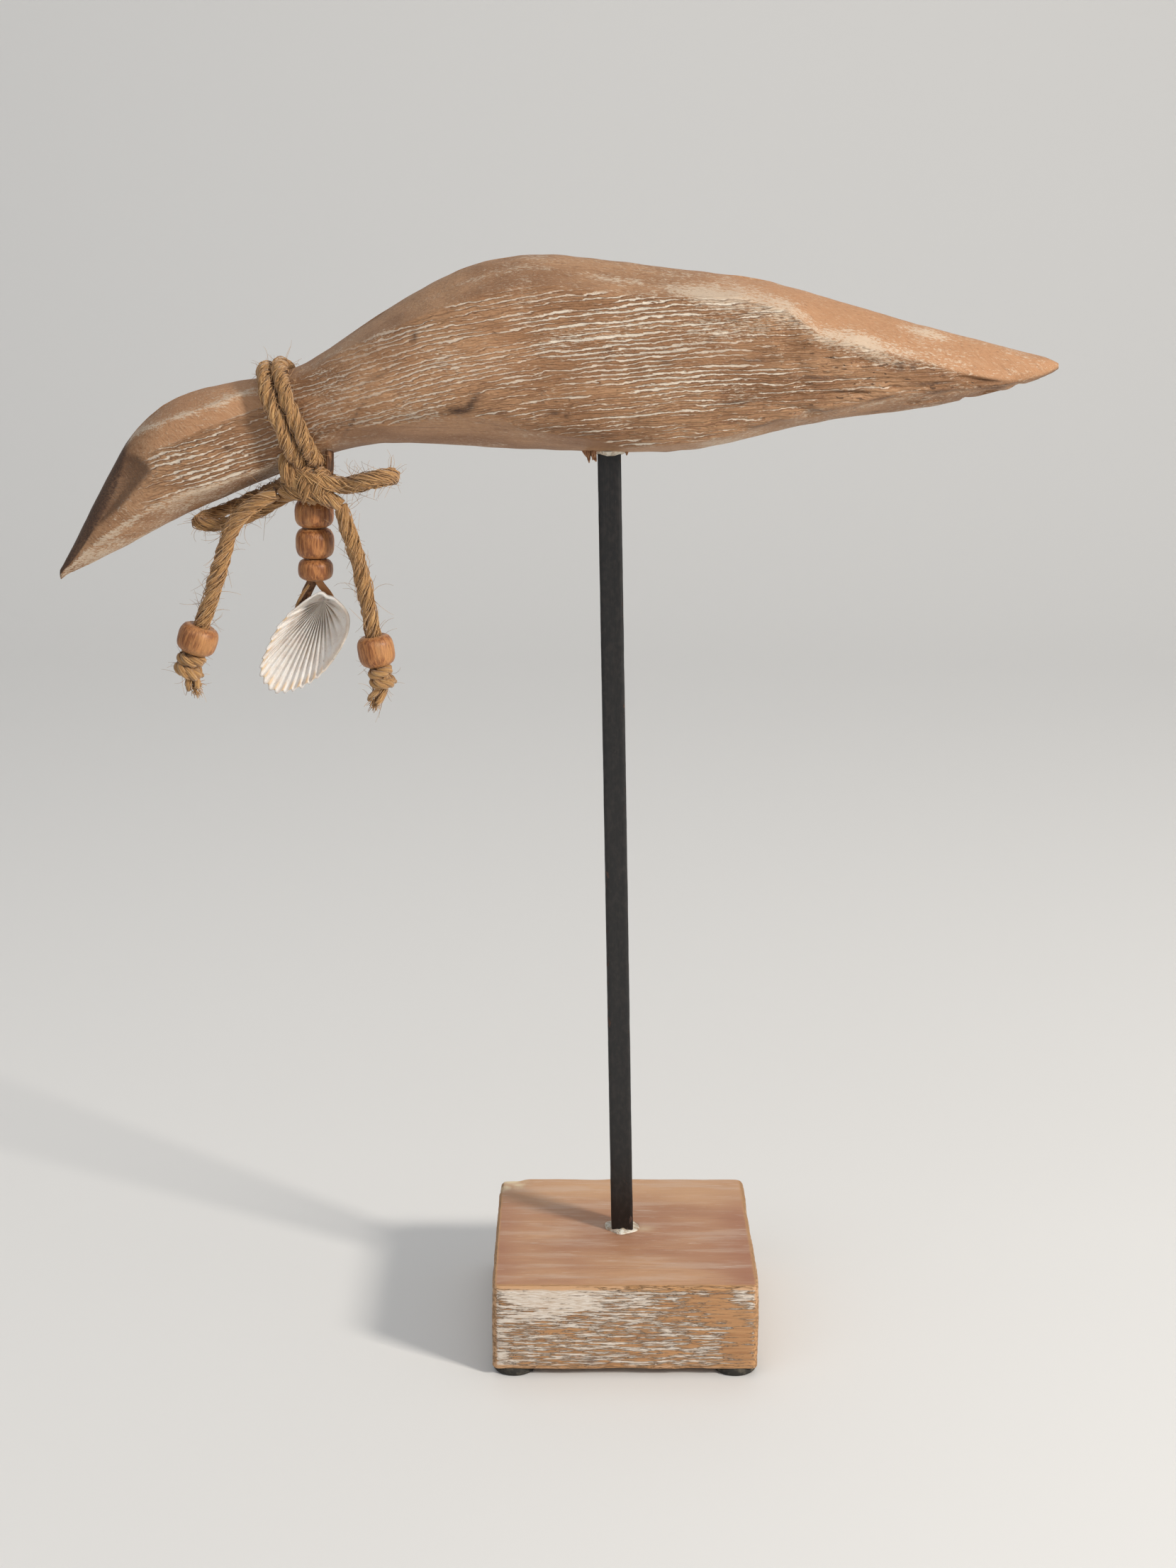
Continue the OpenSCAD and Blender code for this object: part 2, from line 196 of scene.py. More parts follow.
def whitewashed_bird():
    paint = Paint("whitewashed_carving", 0.62, Specular_IOR_Level=0.3)
    grain, carved = paint.grain(), paint.share("carved")
    smooth_wood = paint.without(carved)
    # The grooves' own turns, set on the mesh, wander a little more here.
    wander = paint.noise(grain, 0.10, 0.40, detail=2) - 0.5
    ragged = paint.noise(grain, 0.55, 1.7, detail=3) - 0.5
    turns = paint.share("line") + wander * 1.5 + ragged * 0.75
    wave, below = paint.wave(turns), paint.wave(turns + 0.22)
    along_groove = paint.node("ShaderNodeCombineXYZ", {
        "X": paint.part(grain, "X"), "Y": paint.part(grain, "Y"), "Z": turns,
    })
    dash = paint.noise(along_groove, 0.055, 0.22, detail=4, third=0.95, roughness=0.6)
    fleck = paint.noise(grain, 0.7, 2.8, detail=5, roughness=0.7)
    patchy = paint.noise(grain, 0.06, 0.13, detail=3)
    streak = paint.noise(grain, 0.10, 1.8, detail=5, roughness=0.7)
    broad = paint.noise(grain, 0.03, 0.10, detail=2)
    leaning = paint.node("ShaderNodeVectorRotate", {
        "Vector": grain, "Axis": (0, 1, 0), "Angle": -0.75
    }, rotation_type="AXIS_ANGLE")
    stroke = paint.noise(leaning, 0.16, 2.0, detail=4, roughness=0.65)
    # Bare wood, light and dark, with the knife's strokes where it is smooth.
    colour = paint.mix(broad.step(0.36, 0.64), (0.30, 0.150, 0.070), (0.455, 0.250, 0.128))
    colour = paint.mix(streak.step(0.45, 0.72) * 0.8, colour, (0.215, 0.098, 0.044))
    colour = paint.mix(paint.share("warm") * 0.80, colour, (0.545, 0.285, 0.145))
    colour = paint.mix(fleck.step(0.50, 0.70) * 0.16, colour, (0.70, 0.50, 0.32))
    colour = paint.mix(stroke.step(0.52, 0.72) * smooth_wood * 0.35, colour, (0.66, 0.47, 0.31))
    colour = paint.mix(stroke.step(0.46, 0.30) * smooth_wood * 0.35, colour, (0.20, 0.09, 0.042))
    # Whitewash: rubbed patches, and dashes that fill the grooves, beside a painted shadow along each
    # groove's edge.
    rub = fleck + paint.share("haze") * 0.24 + (patchy - 0.5) * 0.6 + (streak - 0.5) * 0.4
    line = wave + (dash - 0.50) * 4.6 + (fleck - 0.5) * 1.25 + paint.share("chalk") * 0.75
    white_line = line.step(0.76, 1.22) * carved
    dark_line = below.step(0.3, 0.95) * dash.step(0.36, 0.55) * carved
    colour = paint.mix(rub.step(0.60, 0.76) * 0.72, colour, (0.70, 0.57, 0.43))
    # Painted shadow along each groove's edge.
    colour = paint.mix(dark_line * 0.62, colour, (0.150, 0.064, 0.030))
    colour = paint.mix(white_line * 0.88, colour, (0.80, 0.70, 0.57))
    # Painted shade on the forehead, in the scoop and above the belly's lower edge, with cracks, knocks and
    # pits.
    pits = paint.noise(grain, 0.35, 1.3, detail=1).step(0.68, 0.71) * paint.share("pitted")
    shade = paint.math("MAXIMUM", paint.share("dark"), pits * 0.8)
    shade = shade * 0.7 + shade * fleck.step(0.34, 0.62) * 0.3
    colour = paint.mix(shade, colour, (0.070, 0.036, 0.022))
    relief = paint.wear(((1.0 - wave) * carved * 0.5, 0.42), (1.0 - pits, 0.3), (fleck, 0.16),
                        (streak, 0.18), (stroke * smooth_wood, 0.28))
    return paint.finish(colour, relief, white_line * 0.25 + 0.5)


def whitewashed_base():
    paint = Paint("whitewashed_base", 0.55, Specular_IOR_Level=0.35)
    grain, top = paint.grain(), paint.share("top")
    side = paint.without(top)
    streak = paint.noise(grain, 0.06, 2.2, detail=6, roughness=0.7)
    fine = paint.noise(grain, 0.35, 3.8, detail=4, roughness=0.7)
    broad = paint.noise(grain, 0.025, 0.06, detail=2)
    hazy = paint.noise(grain, 0.03, 0.22, detail=5, roughness=0.65)
    scuffs = paint.noise(grain, 0.10, 2.4, detail=2).step(0.67, 0.71) * top
    # The top: bare wood, red at its ends and light at its back, a little hazy and scuffed.
    colour = paint.mix(broad.step(0.35, 0.65), (0.46, 0.225, 0.125), (0.60, 0.335, 0.185))
    colour = paint.mix(streak.step(0.42, 0.78) * 0.55, colour, (0.34, 0.155, 0.078))
    colour = paint.mix(paint.share("red") * 0.55, colour, (0.36, 0.145, 0.085))
    colour = paint.mix(paint.share("light") * 0.6, colour, (0.70, 0.42, 0.23))
    colour = paint.mix(hazy.step(0.47, 0.66) * top * 0.30, colour, (0.70, 0.55, 0.44))
    colour = paint.mix(scuffs * 0.6, colour, (0.78, 0.66, 0.54))
    # The sides: streaks of whitewash over browner wood, rubbed off along the rims.
    bare_side = paint.mix(streak.step(0.40, 0.70), (0.50, 0.265, 0.12), (0.33, 0.155, 0.065))
    colour = paint.mix(side, colour, bare_side)
    coat = paint.noise(grain, 0.13, 1.7, detail=6, roughness=0.72) + paint.share("coat") * 0.16
    white = (coat + (fine - 0.5) * 0.18).step(0.455, 0.545) * side
    chalk = paint.mix(fine.step(0.38, 0.6), (0.58, 0.48, 0.38), (0.78, 0.72, 0.64))
    colour = paint.mix(white * 0.85, colour, chalk)
    rim = paint.share("worn") + (fine - 0.5) * 0.9
    colour = paint.mix(rim.step(0.50, 0.72) * 0.85, colour, (0.55, 0.29, 0.125))
    colour = paint.mix(paint.share("chip"), colour, (0.80, 0.64, 0.42))
    # Painted shade round the rod's hole, and two dark marks on the side.
    colour = paint.mix(paint.share("dark"), colour, (0.13, 0.062, 0.038))
    return paint.finish(colour, paint.wear((white, 0.3), (streak, 0.14), (fine, 0.10)), white * 0.3 + 0.45)


def jute(name="jute", light=1.0):
    paint = Paint(name, 0.88, Specular_IOR_Level=0.2, Sheen_Weight=0.35, Sheen_Roughness=0.5)
    grain = paint.grain()
    strands = paint.noise(grain, 0.22, 4.2, detail=4, roughness=0.6)
    patches = paint.noise(grain, 0.12, 0.35, detail=2)
    low, middle, high = (
        tuple(light * part for part in shade)
        for shade in ((0.135, 0.063, 0.022), (0.42, 0.225, 0.085), (0.66, 0.42, 0.19))
    )
    colour = paint.mix(strands.step(0.30, 0.52), low, middle)
    colour = paint.mix(strands.step(0.50, 0.72), colour, high)
    colour = paint.mix(patches.step(0.52, 0.72) * 0.35, colour, middle)
    return paint.finish(colour, paint.wear((strands, 0.22)))


def bead_wood():
    paint = Paint("bead_wood", 0.42, Specular_IOR_Level=0.45, Coat_Weight=0.15, Coat_Roughness=0.35)
    grain = paint.grain()
    rings = paint.noise(grain, 0.25, 1.7, detail=5, distortion=0.6)
    pores = paint.noise(grain, 0.9, 5.0, detail=3)
    stain = paint.noise(grain, 0.12, 0.2, detail=2)
    colour = paint.mix(rings.step(0.36, 0.64), (0.215, 0.068, 0.016), (0.47, 0.190, 0.058))
    colour = paint.mix(stain.step(0.45, 0.7) * 0.7, colour, (0.56, 0.275, 0.10))
    colour = paint.mix(pores.step(0.60, 0.70) * 0.6, colour, (0.12, 0.04, 0.014))
    colour = paint.mix(paint.share("worn"), colour, (0.66, 0.37, 0.18))
    return paint.finish(colour, paint.wear((rings, 0.20), (pores, 0.12)))


def lace_leather():
    paint = Paint("lace_leather", 0.7, Specular_IOR_Level=0.3)
    grain = paint.grain()
    fibre = paint.noise(grain, 0.2, 3.2, detail=4)
    worn = paint.noise(grain, 0.35, 0.9, detail=3)
    colour = paint.mix(fibre.step(0.35, 0.65), (0.035, 0.018, 0.011), (0.14, 0.068, 0.034))
    colour = paint.mix(worn.step(0.52, 0.66) * 0.7, colour, (0.33, 0.17, 0.085))
    colour = paint.mix(paint.share("worn"), colour, (0.50, 0.24, 0.10))
    return paint.finish(colour, paint.wear((fibre, 0.15)))


def black_paint():
    paint = Paint("chipped_black_paint", 0.38, Specular_IOR_Level=0.5)
    grain = paint.grain()
    chips = paint.noise(grain, 0.22, 0.5, detail=6, roughness=0.7) + paint.share("worn") * 0.07
    rust = chips.step(0.66, 0.70)
    brush = paint.noise(grain, 0.08, 2.2, detail=3)
    mottle = paint.noise(grain, 0.6, 0.9, detail=3)
    colour = paint.mix(mottle.step(0.4, 0.7), (0.005, 0.0045, 0.0045), (0.014, 0.011, 0.010))
    colour = paint.mix(rust, colour, (0.060, 0.030, 0.020))
    return paint.finish(colour, paint.wear((1.0 - rust, 0.12), (brush, 0.06)), rust * 0.45 + 0.34)


def dried_glue():
    paint = Paint("dried_glue", 0.5, Specular_IOR_Level=0.45, Subsurface_Weight=0.1)
    grain = paint.grain()
    lumps = paint.noise(grain, 0.7, 0.7, detail=4)
    dirt = paint.noise(grain, 1.6, 1.6, detail=3)
    colour = paint.mix(lumps.step(0.35, 0.65), (0.46, 0.33, 0.22), (0.80, 0.72, 0.60))
    colour = paint.mix(dirt.step(0.56, 0.68) * 0.75, colour, (0.16, 0.08, 0.05))
    return paint.finish(colour, paint.wear((lumps, 0.35)))


def splinter_wood():
    paint = Paint("splinter_wood", 0.75, Specular_IOR_Level=0.25)
    fibre = paint.noise(paint.grain(), 0.5, 3.0, detail=4)
    colour = paint.mix(fibre.step(0.35, 0.65), (0.16, 0.06, 0.028), (0.50, 0.27, 0.14))
    return paint.finish(colour, paint.wear((fibre, 0.3)))


def foot_rubber():
    paint = Paint("foot_rubber", 0.8, Specular_IOR_Level=0.3)
    dust = paint.noise(paint.grain(), 0.5, 0.5, detail=5)
    colour = paint.mix(dust.step(0.42, 0.72), (0.030, 0.028, 0.024), (0.115, 0.10, 0.075))
    return paint.finish(colour, paint.wear((dust, 0.12)))


def shell_white():
    paint = Paint("shell_white", 0.5, Specular_IOR_Level=0.45, Subsurface_Weight=0.12)
    grain = paint.grain()
    blotch = paint.noise(grain, 0.35, 0.35, detail=5, roughness=0.65)
    growth = paint.noise(grain, 2.2, 0.25, detail=3)
    specks = paint.noise(grain, 1.3, 1.3, detail=1)
    colour = paint.mix(blotch.step(0.40, 0.68), (0.76, 0.71, 0.655), (0.66, 0.575, 0.51))
    colour = paint.mix(growth.step(0.45, 0.70) * 0.3, colour, (0.66, 0.56, 0.48))
    colour = paint.mix(paint.share("lip"), colour, (0.70, 0.46, 0.25))
    # Painted shade in the rib valleys near the beak.
    colour = paint.mix(paint.share("dirt"), colour, (0.245, 0.185, 0.135))
    colour = paint.mix(specks.step(0.705, 0.74) * 0.6, colour, (0.36, 0.22, 0.17))
    return paint.finish(colour, paint.wear((growth, 0.10), (blotch, 0.12)))


# ---------------------------------------------------------------- mesh helpers

def field(points, along, across, seed):
    """Smooth noise from -1 to 1 at places in millimetres, with so many cells to the millimetre."""
    shift = np.array([17.3, 5.1, 9.7]) * seed
    return np.array([noise.noise(Vector(p)) for p in points * np.array([along, across, across]) + shift])


def line_field(run, along, seed):
    """The same noise along a line."""
    return field(np.stack([run, 0 * run, 0 * run], -1), along, 1, seed)


def smooth_step(value, low, high):
    share = np.clip((value - low) / (high - low), 0, 1)
    return share * share * (3 - 2 * share)


def bump_at(x, middle, width):
    """A rounded bump of height 1 at the middle."""
    return np.exp(-((x - middle) / width) ** 2)


def circle(count):
    """So many equal turns round a circle, in radians."""
    return 2 * np.pi * np.arange(count) / count


def grid(*axes):
    """Every pair of values from two rows of values, as two long rows."""
    return (part.ravel() for part in np.meshgrid(*axes, indexing="ij"))


def unit(vectors):
    """The same directions at length 1."""
    vectors = np.asarray(vectors, float)
    return vectors / np.linalg.norm(vectors, axis=-1, keepdims=True)


def square_ring(per_side):
    """Points round a square of half side 1, none of them on its corners."""
    steps = (np.arange(per_side) + 0.5) / per_side * 2 - 1
    one = np.ones(per_side)
    sides = ((steps, -one), (one, steps), (-steps, one), (-one, -steps))
    return np.concatenate([np.column_stack(side) for side in sides])


def grid_faces(rows, columns, around=True, start=0):
    """Quads over rows of so many points, which close on themselves if around."""
    i, k = np.meshgrid(np.arange(rows - 1), np.arange(columns if around else columns - 1), indexing="ij")
    after = (k + 1) % columns
    here, above = i * columns, (i + 1) * columns
    quads = np.stack([here + k, here + after, above + after, above + k], -1)
    return (quads.reshape(-1, 4) + start).tolist()


def cap_faces(rows, columns, start=0):
    """One face over each end of a grid that closes on itself."""
    first = list(range(start + columns - 1, start - 1, -1))
    last = list(range(start + (rows - 1) * columns, start + rows * columns))
    return [first, last]


def piece(name, points, faces, paint, node=None, body=ROOT, slot=None, **shares):
    """A mesh piece in the row frame that rides on a body and stands for a CAD node."""
    mesh = bpy.data.meshes.new(name)
    mesh.from_pydata(np.asarray(points).tolist(), [], faces)
    mesh.polygons.foreach_set("use_smooth", np.ones(len(mesh.polygons), bool))
    for key, values in shares.items():
        values = np.asarray(values, np.float32)
        vector = values.ndim == 2
        stored = mesh.attributes.new(key, "FLOAT_VECTOR" if vector else "FLOAT", "POINT")
        stored.data.foreach_set("vector" if vector else "value", values.ravel())
    mesh.materials.append(paint)
    mesh.validate()
    made = bpy.data.objects.new(name, mesh)
    bpy.context.scene.collection.objects.link(made)
    if body:
        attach(made, body)
    if node:
        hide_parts(node)
    return made


def run_along(route):
    """How far along a route each of its points lies."""
    return np.concatenate([[0], np.cumsum(np.linalg.norm(np.diff(route, axis=0), axis=1))])


def smooth_route(points, step, closed=False):
    """A smooth curve through the points, in equal steps of about this length."""
    points = np.array(points, float)
    count = len(points)
    spans = count if closed else count - 1
    dense = []
    for i in range(spans):
        if closed:
            a, b, c, d = (points[(i + k) % count] for k in (-1, 0, 1, 2))
        else:
            a, b, c, d = (points[min(max(i + k, 0), count - 1)] for k in (-1, 0, 1, 2))
        for f in np.arange(24) / 24:
            dense.append((2 * b + (c - a) * f + (2 * a - 5 * b + 4 * c - d) * f ** 2
                          + (3 * b - a - 3 * c + d) * f ** 3) / 2)
    dense.append(dense[0] if closed else points[-1])
    dense = np.array(dense)
    run = run_along(dense)
    places = np.linspace(0, run[-1], max(3, int(run[-1] / step) + 1))
    if closed:
        places = places[:-1]
    return np.stack([np.interp(places, run, dense[:, k]) for k in range(3)], -1)


ALONG = 0.999  # a side this far along its route says nothing about the way across


def carried_sides(route, first=(0, 0, 1), closed=False):
    """Two unit directions square to a route at each point, carried along it without twist."""
    ahead = np.roll(route, -1, 0) - np.roll(route, 1, 0)
    if not closed:
        ahead[0], ahead[-1] = route[1] - route[0], route[-1] - route[-2]
    ahead = unit(ahead)
    side, sides = np.array(first, float), []
    if abs(side @ ahead[0]) > ALONG:
        side = np.array([1.0, 0, 0])
    for t in ahead:
        side = unit(side - (side @ t) * t)
        sides.append(side)
    sides = np.array(sides)
    return sides, np.cross(ahead, sides)


PITCH = 16.0  # of the plies in a straight length
PLIES = 3
FRAY_REACH = 3.5


class Strands:
    """Tubes gathered into one mesh, in millimetres of the bird's own frame."""

    def __init__(self):
        self.points, self.faces, self.grain, self.count = [], [], [], 0

    def tube(self, route, radius, sides=8, flat=1.0, closed=False, first=(0, 0, 1)):
        """A tube along a route. Its radius may vary, and flat squeezes it across."""
        route = np.asarray(route, float)
        one, two = carried_sides(route, first, closed)
        radius = np.broadcast_to(np.asarray(radius, float), (len(route),))
        c, s = np.cos(circle(sides)), np.sin(circle(sides))
        rings = route[:, None] + radius[:, None, None] * (
            c[None, :, None] * one[:, None] + flat * s[None, :, None] * two[:, None]
        )
        run = run_along(route)
        lane = 7.7 * len(self.points)
        grain = np.stack([
            np.repeat(run, sides), lane + np.outer(radius, c).ravel(), np.outer(radius, s).ravel()
        ], -1)
        rows = len(route)
        self.faces += grid_faces(rows, sides, True, self.count)
        if closed:
            last = self.count + (rows - 1) * sides
            self.faces += [
                [last + k, last + (k + 1) % sides, self.count + (k + 1) % sides, self.count + k]
                for k in range(sides)
            ]
        else:
            self.faces += cap_faces(rows, sides, self.count)
        self.points.append(rings.reshape(-1, 3))
        self.grain.append(grain)
        self.count += rows * sides

    def twine(self, route, radius, pitch=PITCH, closed=False, first=(0, 0, 1), start=0.0, fray=0.0):
        """Three plies laid round each other, with the wobble of loose fibre.

        They open out by fray over the last few millimetres.
        """
        run = run_along(route)
        long = run[-1] + (np.linalg.norm(route[0] - route[-1]) if closed else 0)
        turns = long / pitch
        if closed:
            turns = round(turns)
        one, two = carried_sides(route, first, closed)
        for ply in range(PLIES):
            wobble = 1 + 0.17 * line_field(run, 0.35, 3 + ply + len(self.points))
            angle = start + 2 * math.pi * (turns * run / long + ply / PLIES) + 0.5 * (wobble - 1)
            spread = 1 + fray * smooth_step(run, run[-1] - FRAY_REACH, run[-1])
            off = 0.50 * radius * spread
            centre = route + off[:, None] * (np.cos(angle)[:, None] * one + np.sin(angle)[:, None] * two)
            thick = 0.53 * radius * wobble * (1 - 0.35 * (spread - 1))
            self.tube(centre, thick, 9, closed=closed, first=first)

    def made(self, name, paint, **rest):
        grain = np.concatenate(self.grain)
        return piece(name, at_bird(np.concatenate(self.points)), self.faces, paint, grain=grain, **rest)


def jitter(rng, size=1):
    return np.array([rng.gauss(0, size) for _ in range(3)])


def curl(rng, start, heading, long, bend, points=7):
    """A short curved line from a start, turning steadily about a random axis."""
    axis = Vector(jitter(rng)).normalized()
    heading = Vector(heading).normalized()
    spot, line = Vector(start), [Vector(start)]
    for _ in range(points - 1):
        heading = (Matrix.Rotation(bend / points, 3, axis) @ heading).normalized()
        spot = spot + heading * (long / (points - 1))
        line.append(spot.copy())
    return np.array(line)


def loose_hairs(strands, rng, route, radius, count, long=(2.0, 6.0), thick=0.045, lift=0.5):
    """Fine fibres that leave the twine and curl away from it."""
    one, two = carried_sides(route)
    ahead = np.gradient(route, axis=0)
    for _ in range(count):
        i = rng.randrange(1, len(route) - 1)
        a = rng.uniform(0, 2 * math.pi)
        out = math.cos(a) * one[i] + math.sin(a) * two[i]
        along = unit(ahead[i]) * rng.choice((-1, 1))
        heading = along + out * rng.uniform(0.15, lift) + 0.25 * jitter(rng)
        line = curl(rng, route[i] + out * radius * 0.85, heading, rng.uniform(*long), rng.uniform(0.4, 2.6))
        strands.tube(line, np.linspace(thick, thick * 0.4, len(line)), 3)


def surface_fibres(strands, rng, route, radius, count, closed=False):
    """Fibres that lie along the twine's plies and lift a little off them."""
    one, two = carried_sides(route, closed=closed)
    size = len(route)
    step = np.linalg.norm(route[1] - route[0])
    for _ in range(count):
        span = min(size - 2, int(rng.uniform(4, 11) / step))
        i = rng.randrange(0, size - span)
        a = rng.uniform(0, 2 * math.pi)
        turn = rng.uniform(0.5, 1.3) * 2 * math.pi / PITCH
        k = np.linspace(0, span, 8).astype(int)
        angle = a + turn * k * step
        height = radius * (0.93 + rng.uniform(0.0, 0.34) * np.sin(np.linspace(0, math.pi, 8)))
        line = route[i + k] + height[:, None] * (
            np.cos(angle)[:, None] * one[i + k] + np.sin(angle)[:, None] * two[i + k]
        )
        strands.tube(line, rng.uniform(0.07, 0.16), 4)


def hairy(fuzz, rng, route, fibres, hairs, closed=False, long=(1.6, 6.0)):
    """Fibres along a stretch of twine and loose hairs off it."""
    surface_fibres(fuzz, rng, route, TWINE_R, fibres, closed=closed)
    loose_hairs(fuzz, rng, route, TWINE_R, hairs, long, 0.06, 0.8)


JUTE = jute()
JUTE_HAIR = jute("jute_hair", 1.15)
LACE = lace_leather()
BEAD = bead_wood()
GLUE = dried_glue()
TWINE_R = 1.8
STEP = 0.5  # between the rings of a strand


# ---------------------------------------------------------------- the bird's own shape

SQUARE = 2.4  # the power of the section's rounded outline: 2 is round, and more is squarer
BILL_X, TAIL_X = -144.9, 106.9
SOCKET_X, SOCKET_HALF = -1, 9  # where the rod's socket hides the outline from a ray
HEAD_END, NECK_LEAN = -86, 0.34  # the head ends at a line that leans with the neck
HEAD_CLIMB, HEAD_PITCH, BODY_PITCH = 0.32, 1.3, 1.15  # of the grooves


def cast_profiles():
    """The carving's top, bottom and half width along its length, felt on the CAD node."""
    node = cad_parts["bird_carving"]
    tree = BVHTree.FromPolygons(
        [node.matrix_world @ v.co for v in node.data.vertices],
        [tuple(p.vertices) for p in node.data.polygons],
    )
    rows = []
    for x in np.linspace(BILL_X, TAIL_X, 240):
        if abs(x - SOCKET_X) < SOCKET_HALF:
            continue
        ends = []
        for way in (1, -1):
            hit = tree.ray_cast(Vector(at_bird([x, 0, 90 * way])), Vector((0, 0, -way)))[0]
            ends.append((hit.z - BIRD[2]) / MM)
        side = tree.ray_cast(Vector(at_bird([x, -60, sum(ends) / 2])), Vector((0, 1, 0)))[0]
        rows.append((x, *ends, (BIRD[1] - side.y) / MM))
    return np.array(rows)


PROFILES = cast_profiles()


def profile(x):
    """Middle height, half height and half width at x."""
    top, bottom, half = (np.interp(x, PROFILES[:, 0], PROFILES[:, k]) for k in (1, 2, 3))
    return (top + bottom) / 2, (top - bottom) / 2, half


def power(value, to=2 / SQUARE):
    return np.sign(value) * np.abs(value) ** to


def on_section(x, angle, extra=0.0):
    """A point of the bird's surface, or standing off it by extra."""
    middle, high, half = profile(x)
    return np.stack([
        x + 0 * angle, (half + extra) * power(np.cos(angle)), middle + (high + extra) * power(np.sin(angle))
    ], -1)


# Edges of the carved facets: x, and the height as a share of the half height from the middle.
UPPER_EDGE = np.array([
    (-145, 0.95), (-124, 0.92), (-117, 0.75), (-110, 0.70), (-103, 0.72), (-94, 0.84), (-79, 0.79),
    (-72, 0.84), (-58, 0.70), (-38, 0.69), (-26, 0.73), (-1, 0.71), (18, 0.76), (27, 0.78),
    (38, 0.69), (46, 0.43), (55, 0.40), (66, 0.27), (74, 0.16), (87, -0.21), (97, -0.64), (107, -0.8),
])
LOWER_EDGE = np.array([
    (-145, -0.3), (-135, -0.45), (-128, -0.56), (-120, -0.60), (-111, -0.65), (-102, -0.72),
    (-92, -0.75), (-80, -0.62), (-72, -0.56), (-58, -0.68), (-41, -0.58), (-31, -0.63), (-26, -0.74),
    (-8, -0.83), (-1, -0.92), (9, -0.88), (25, -0.86), (37, -0.80), (52, -0.73), (66, -0.54),
    (81, -0.52), (87, -0.6), (97, -0.8), (107, -0.9),
])
RIDGE = np.array([(-40, 0.86), (-26, 0.89), (-15, 0.85), (-4, 0.84), (6, 0.82), (18, 0.77)])
HEAD_BAND = np.array([(-121, 0.40), (-113, 0.31), (-103, 0.37), (-94, 0.47), (-86, 0.5)])
SCOOP = [(-126, 0.80), (-123, 0.53), (-120, 0.24), (-119, 0.03), (-122, -0.05), (-128, -0.17), (-135, 0.07)]
FOREHEAD = np.array([(-145, 0.1), (-144, -0.08), (-139, 0.02), (-135, 0.15), (-132, 0.32), (-129, 0.47),
                     (-126, 0.80)])


def edge_share(edge, x):
    """The height of an edge at x."""
    return np.interp(x, edge[:, 0], edge[:, 1])


def inside_outline(x, z, outline):
    """Distance in from an outline on the bird's side, below 0 outside it."""
    corners = np.array([(u, profile(u)[0] + share * profile(u)[1]) for u, share in outline])
    near = np.full(len(x), 1e9)
    odd = np.zeros(len(x), bool)
    for a, b in zip(corners, np.roll(corners, -1, 0)):
        run = b - a
        f = np.clip(((x - a[0]) * run[0] + (z - a[1]) * run[1]) / (run @ run), 0, 1)
        near = np.minimum(near, np.hypot(x - a[0] - f * run[0], z - a[1] - f * run[1]))
        crosses = (a[1] > z) != (b[1] > z)
        odd ^= crosses & (x < a[0] + (z - a[1]) * run[0] / (run[1] if run[1] else 1e-9))
    return np.where(odd, near, -near)


def facetted(x, share, side):
    """The section drawn in towards flat facets between the carved edges."""
    middle, high, half = profile(x)
    upper, lower = edge_share(UPPER_EDGE, x), edge_share(LOWER_EDGE, x)

    def place(at):
        width = np.clip(1 - np.abs(at) ** SQUARE, 0, 1) ** (1 / SQUARE)
        return np.stack([side * half * width, middle + high * at], -1)

    spot = place(share)
    for low, top, flat in ((lower, upper, 0.30), (upper, 1 + 0 * x, 0.62), (-1 + 0 * x, lower, 0.55)):
        within = (share >= low) & (share <= top)
        f = np.clip((share - low) / np.maximum(top - low, 1e-6), 0, 1)[:, None]
        chord = (1 - f) * place(low) + f * place(top)
        drawn = (flat * smooth_step(x, TAIL_X - 3, TAIL_X - 30))[:, None]
        spot = np.where(within[:, None], (1 - drawn) * spot + drawn * chord, spot)
    return spot


def on_head(x, z):
    return x + NECK_LEAN * (z - profile(x)[0]) < HEAD_END


# The height of one groove along the body: x, and how far it has climbed.
GROOVE_CLIMB = np.array([
    (-90, -19.0), (-70, -12.2), (-50, -6.2), (-35, -2.9), (-20, -0.6), (12, 2.6), (60, 4.4), (110, 4.4),
])


def groove_turns(x, z):
    """Which groove a place lies on: they climb on the head and the neck, then run near level."""
    head = (z - HEAD_CLIMB * (x + 108)) / HEAD_PITCH
    body = (z - 24.5 - edge_share(GROOVE_CLIMB, x)) / BODY_PITCH
    return np.where(on_head(x, z), head, body)


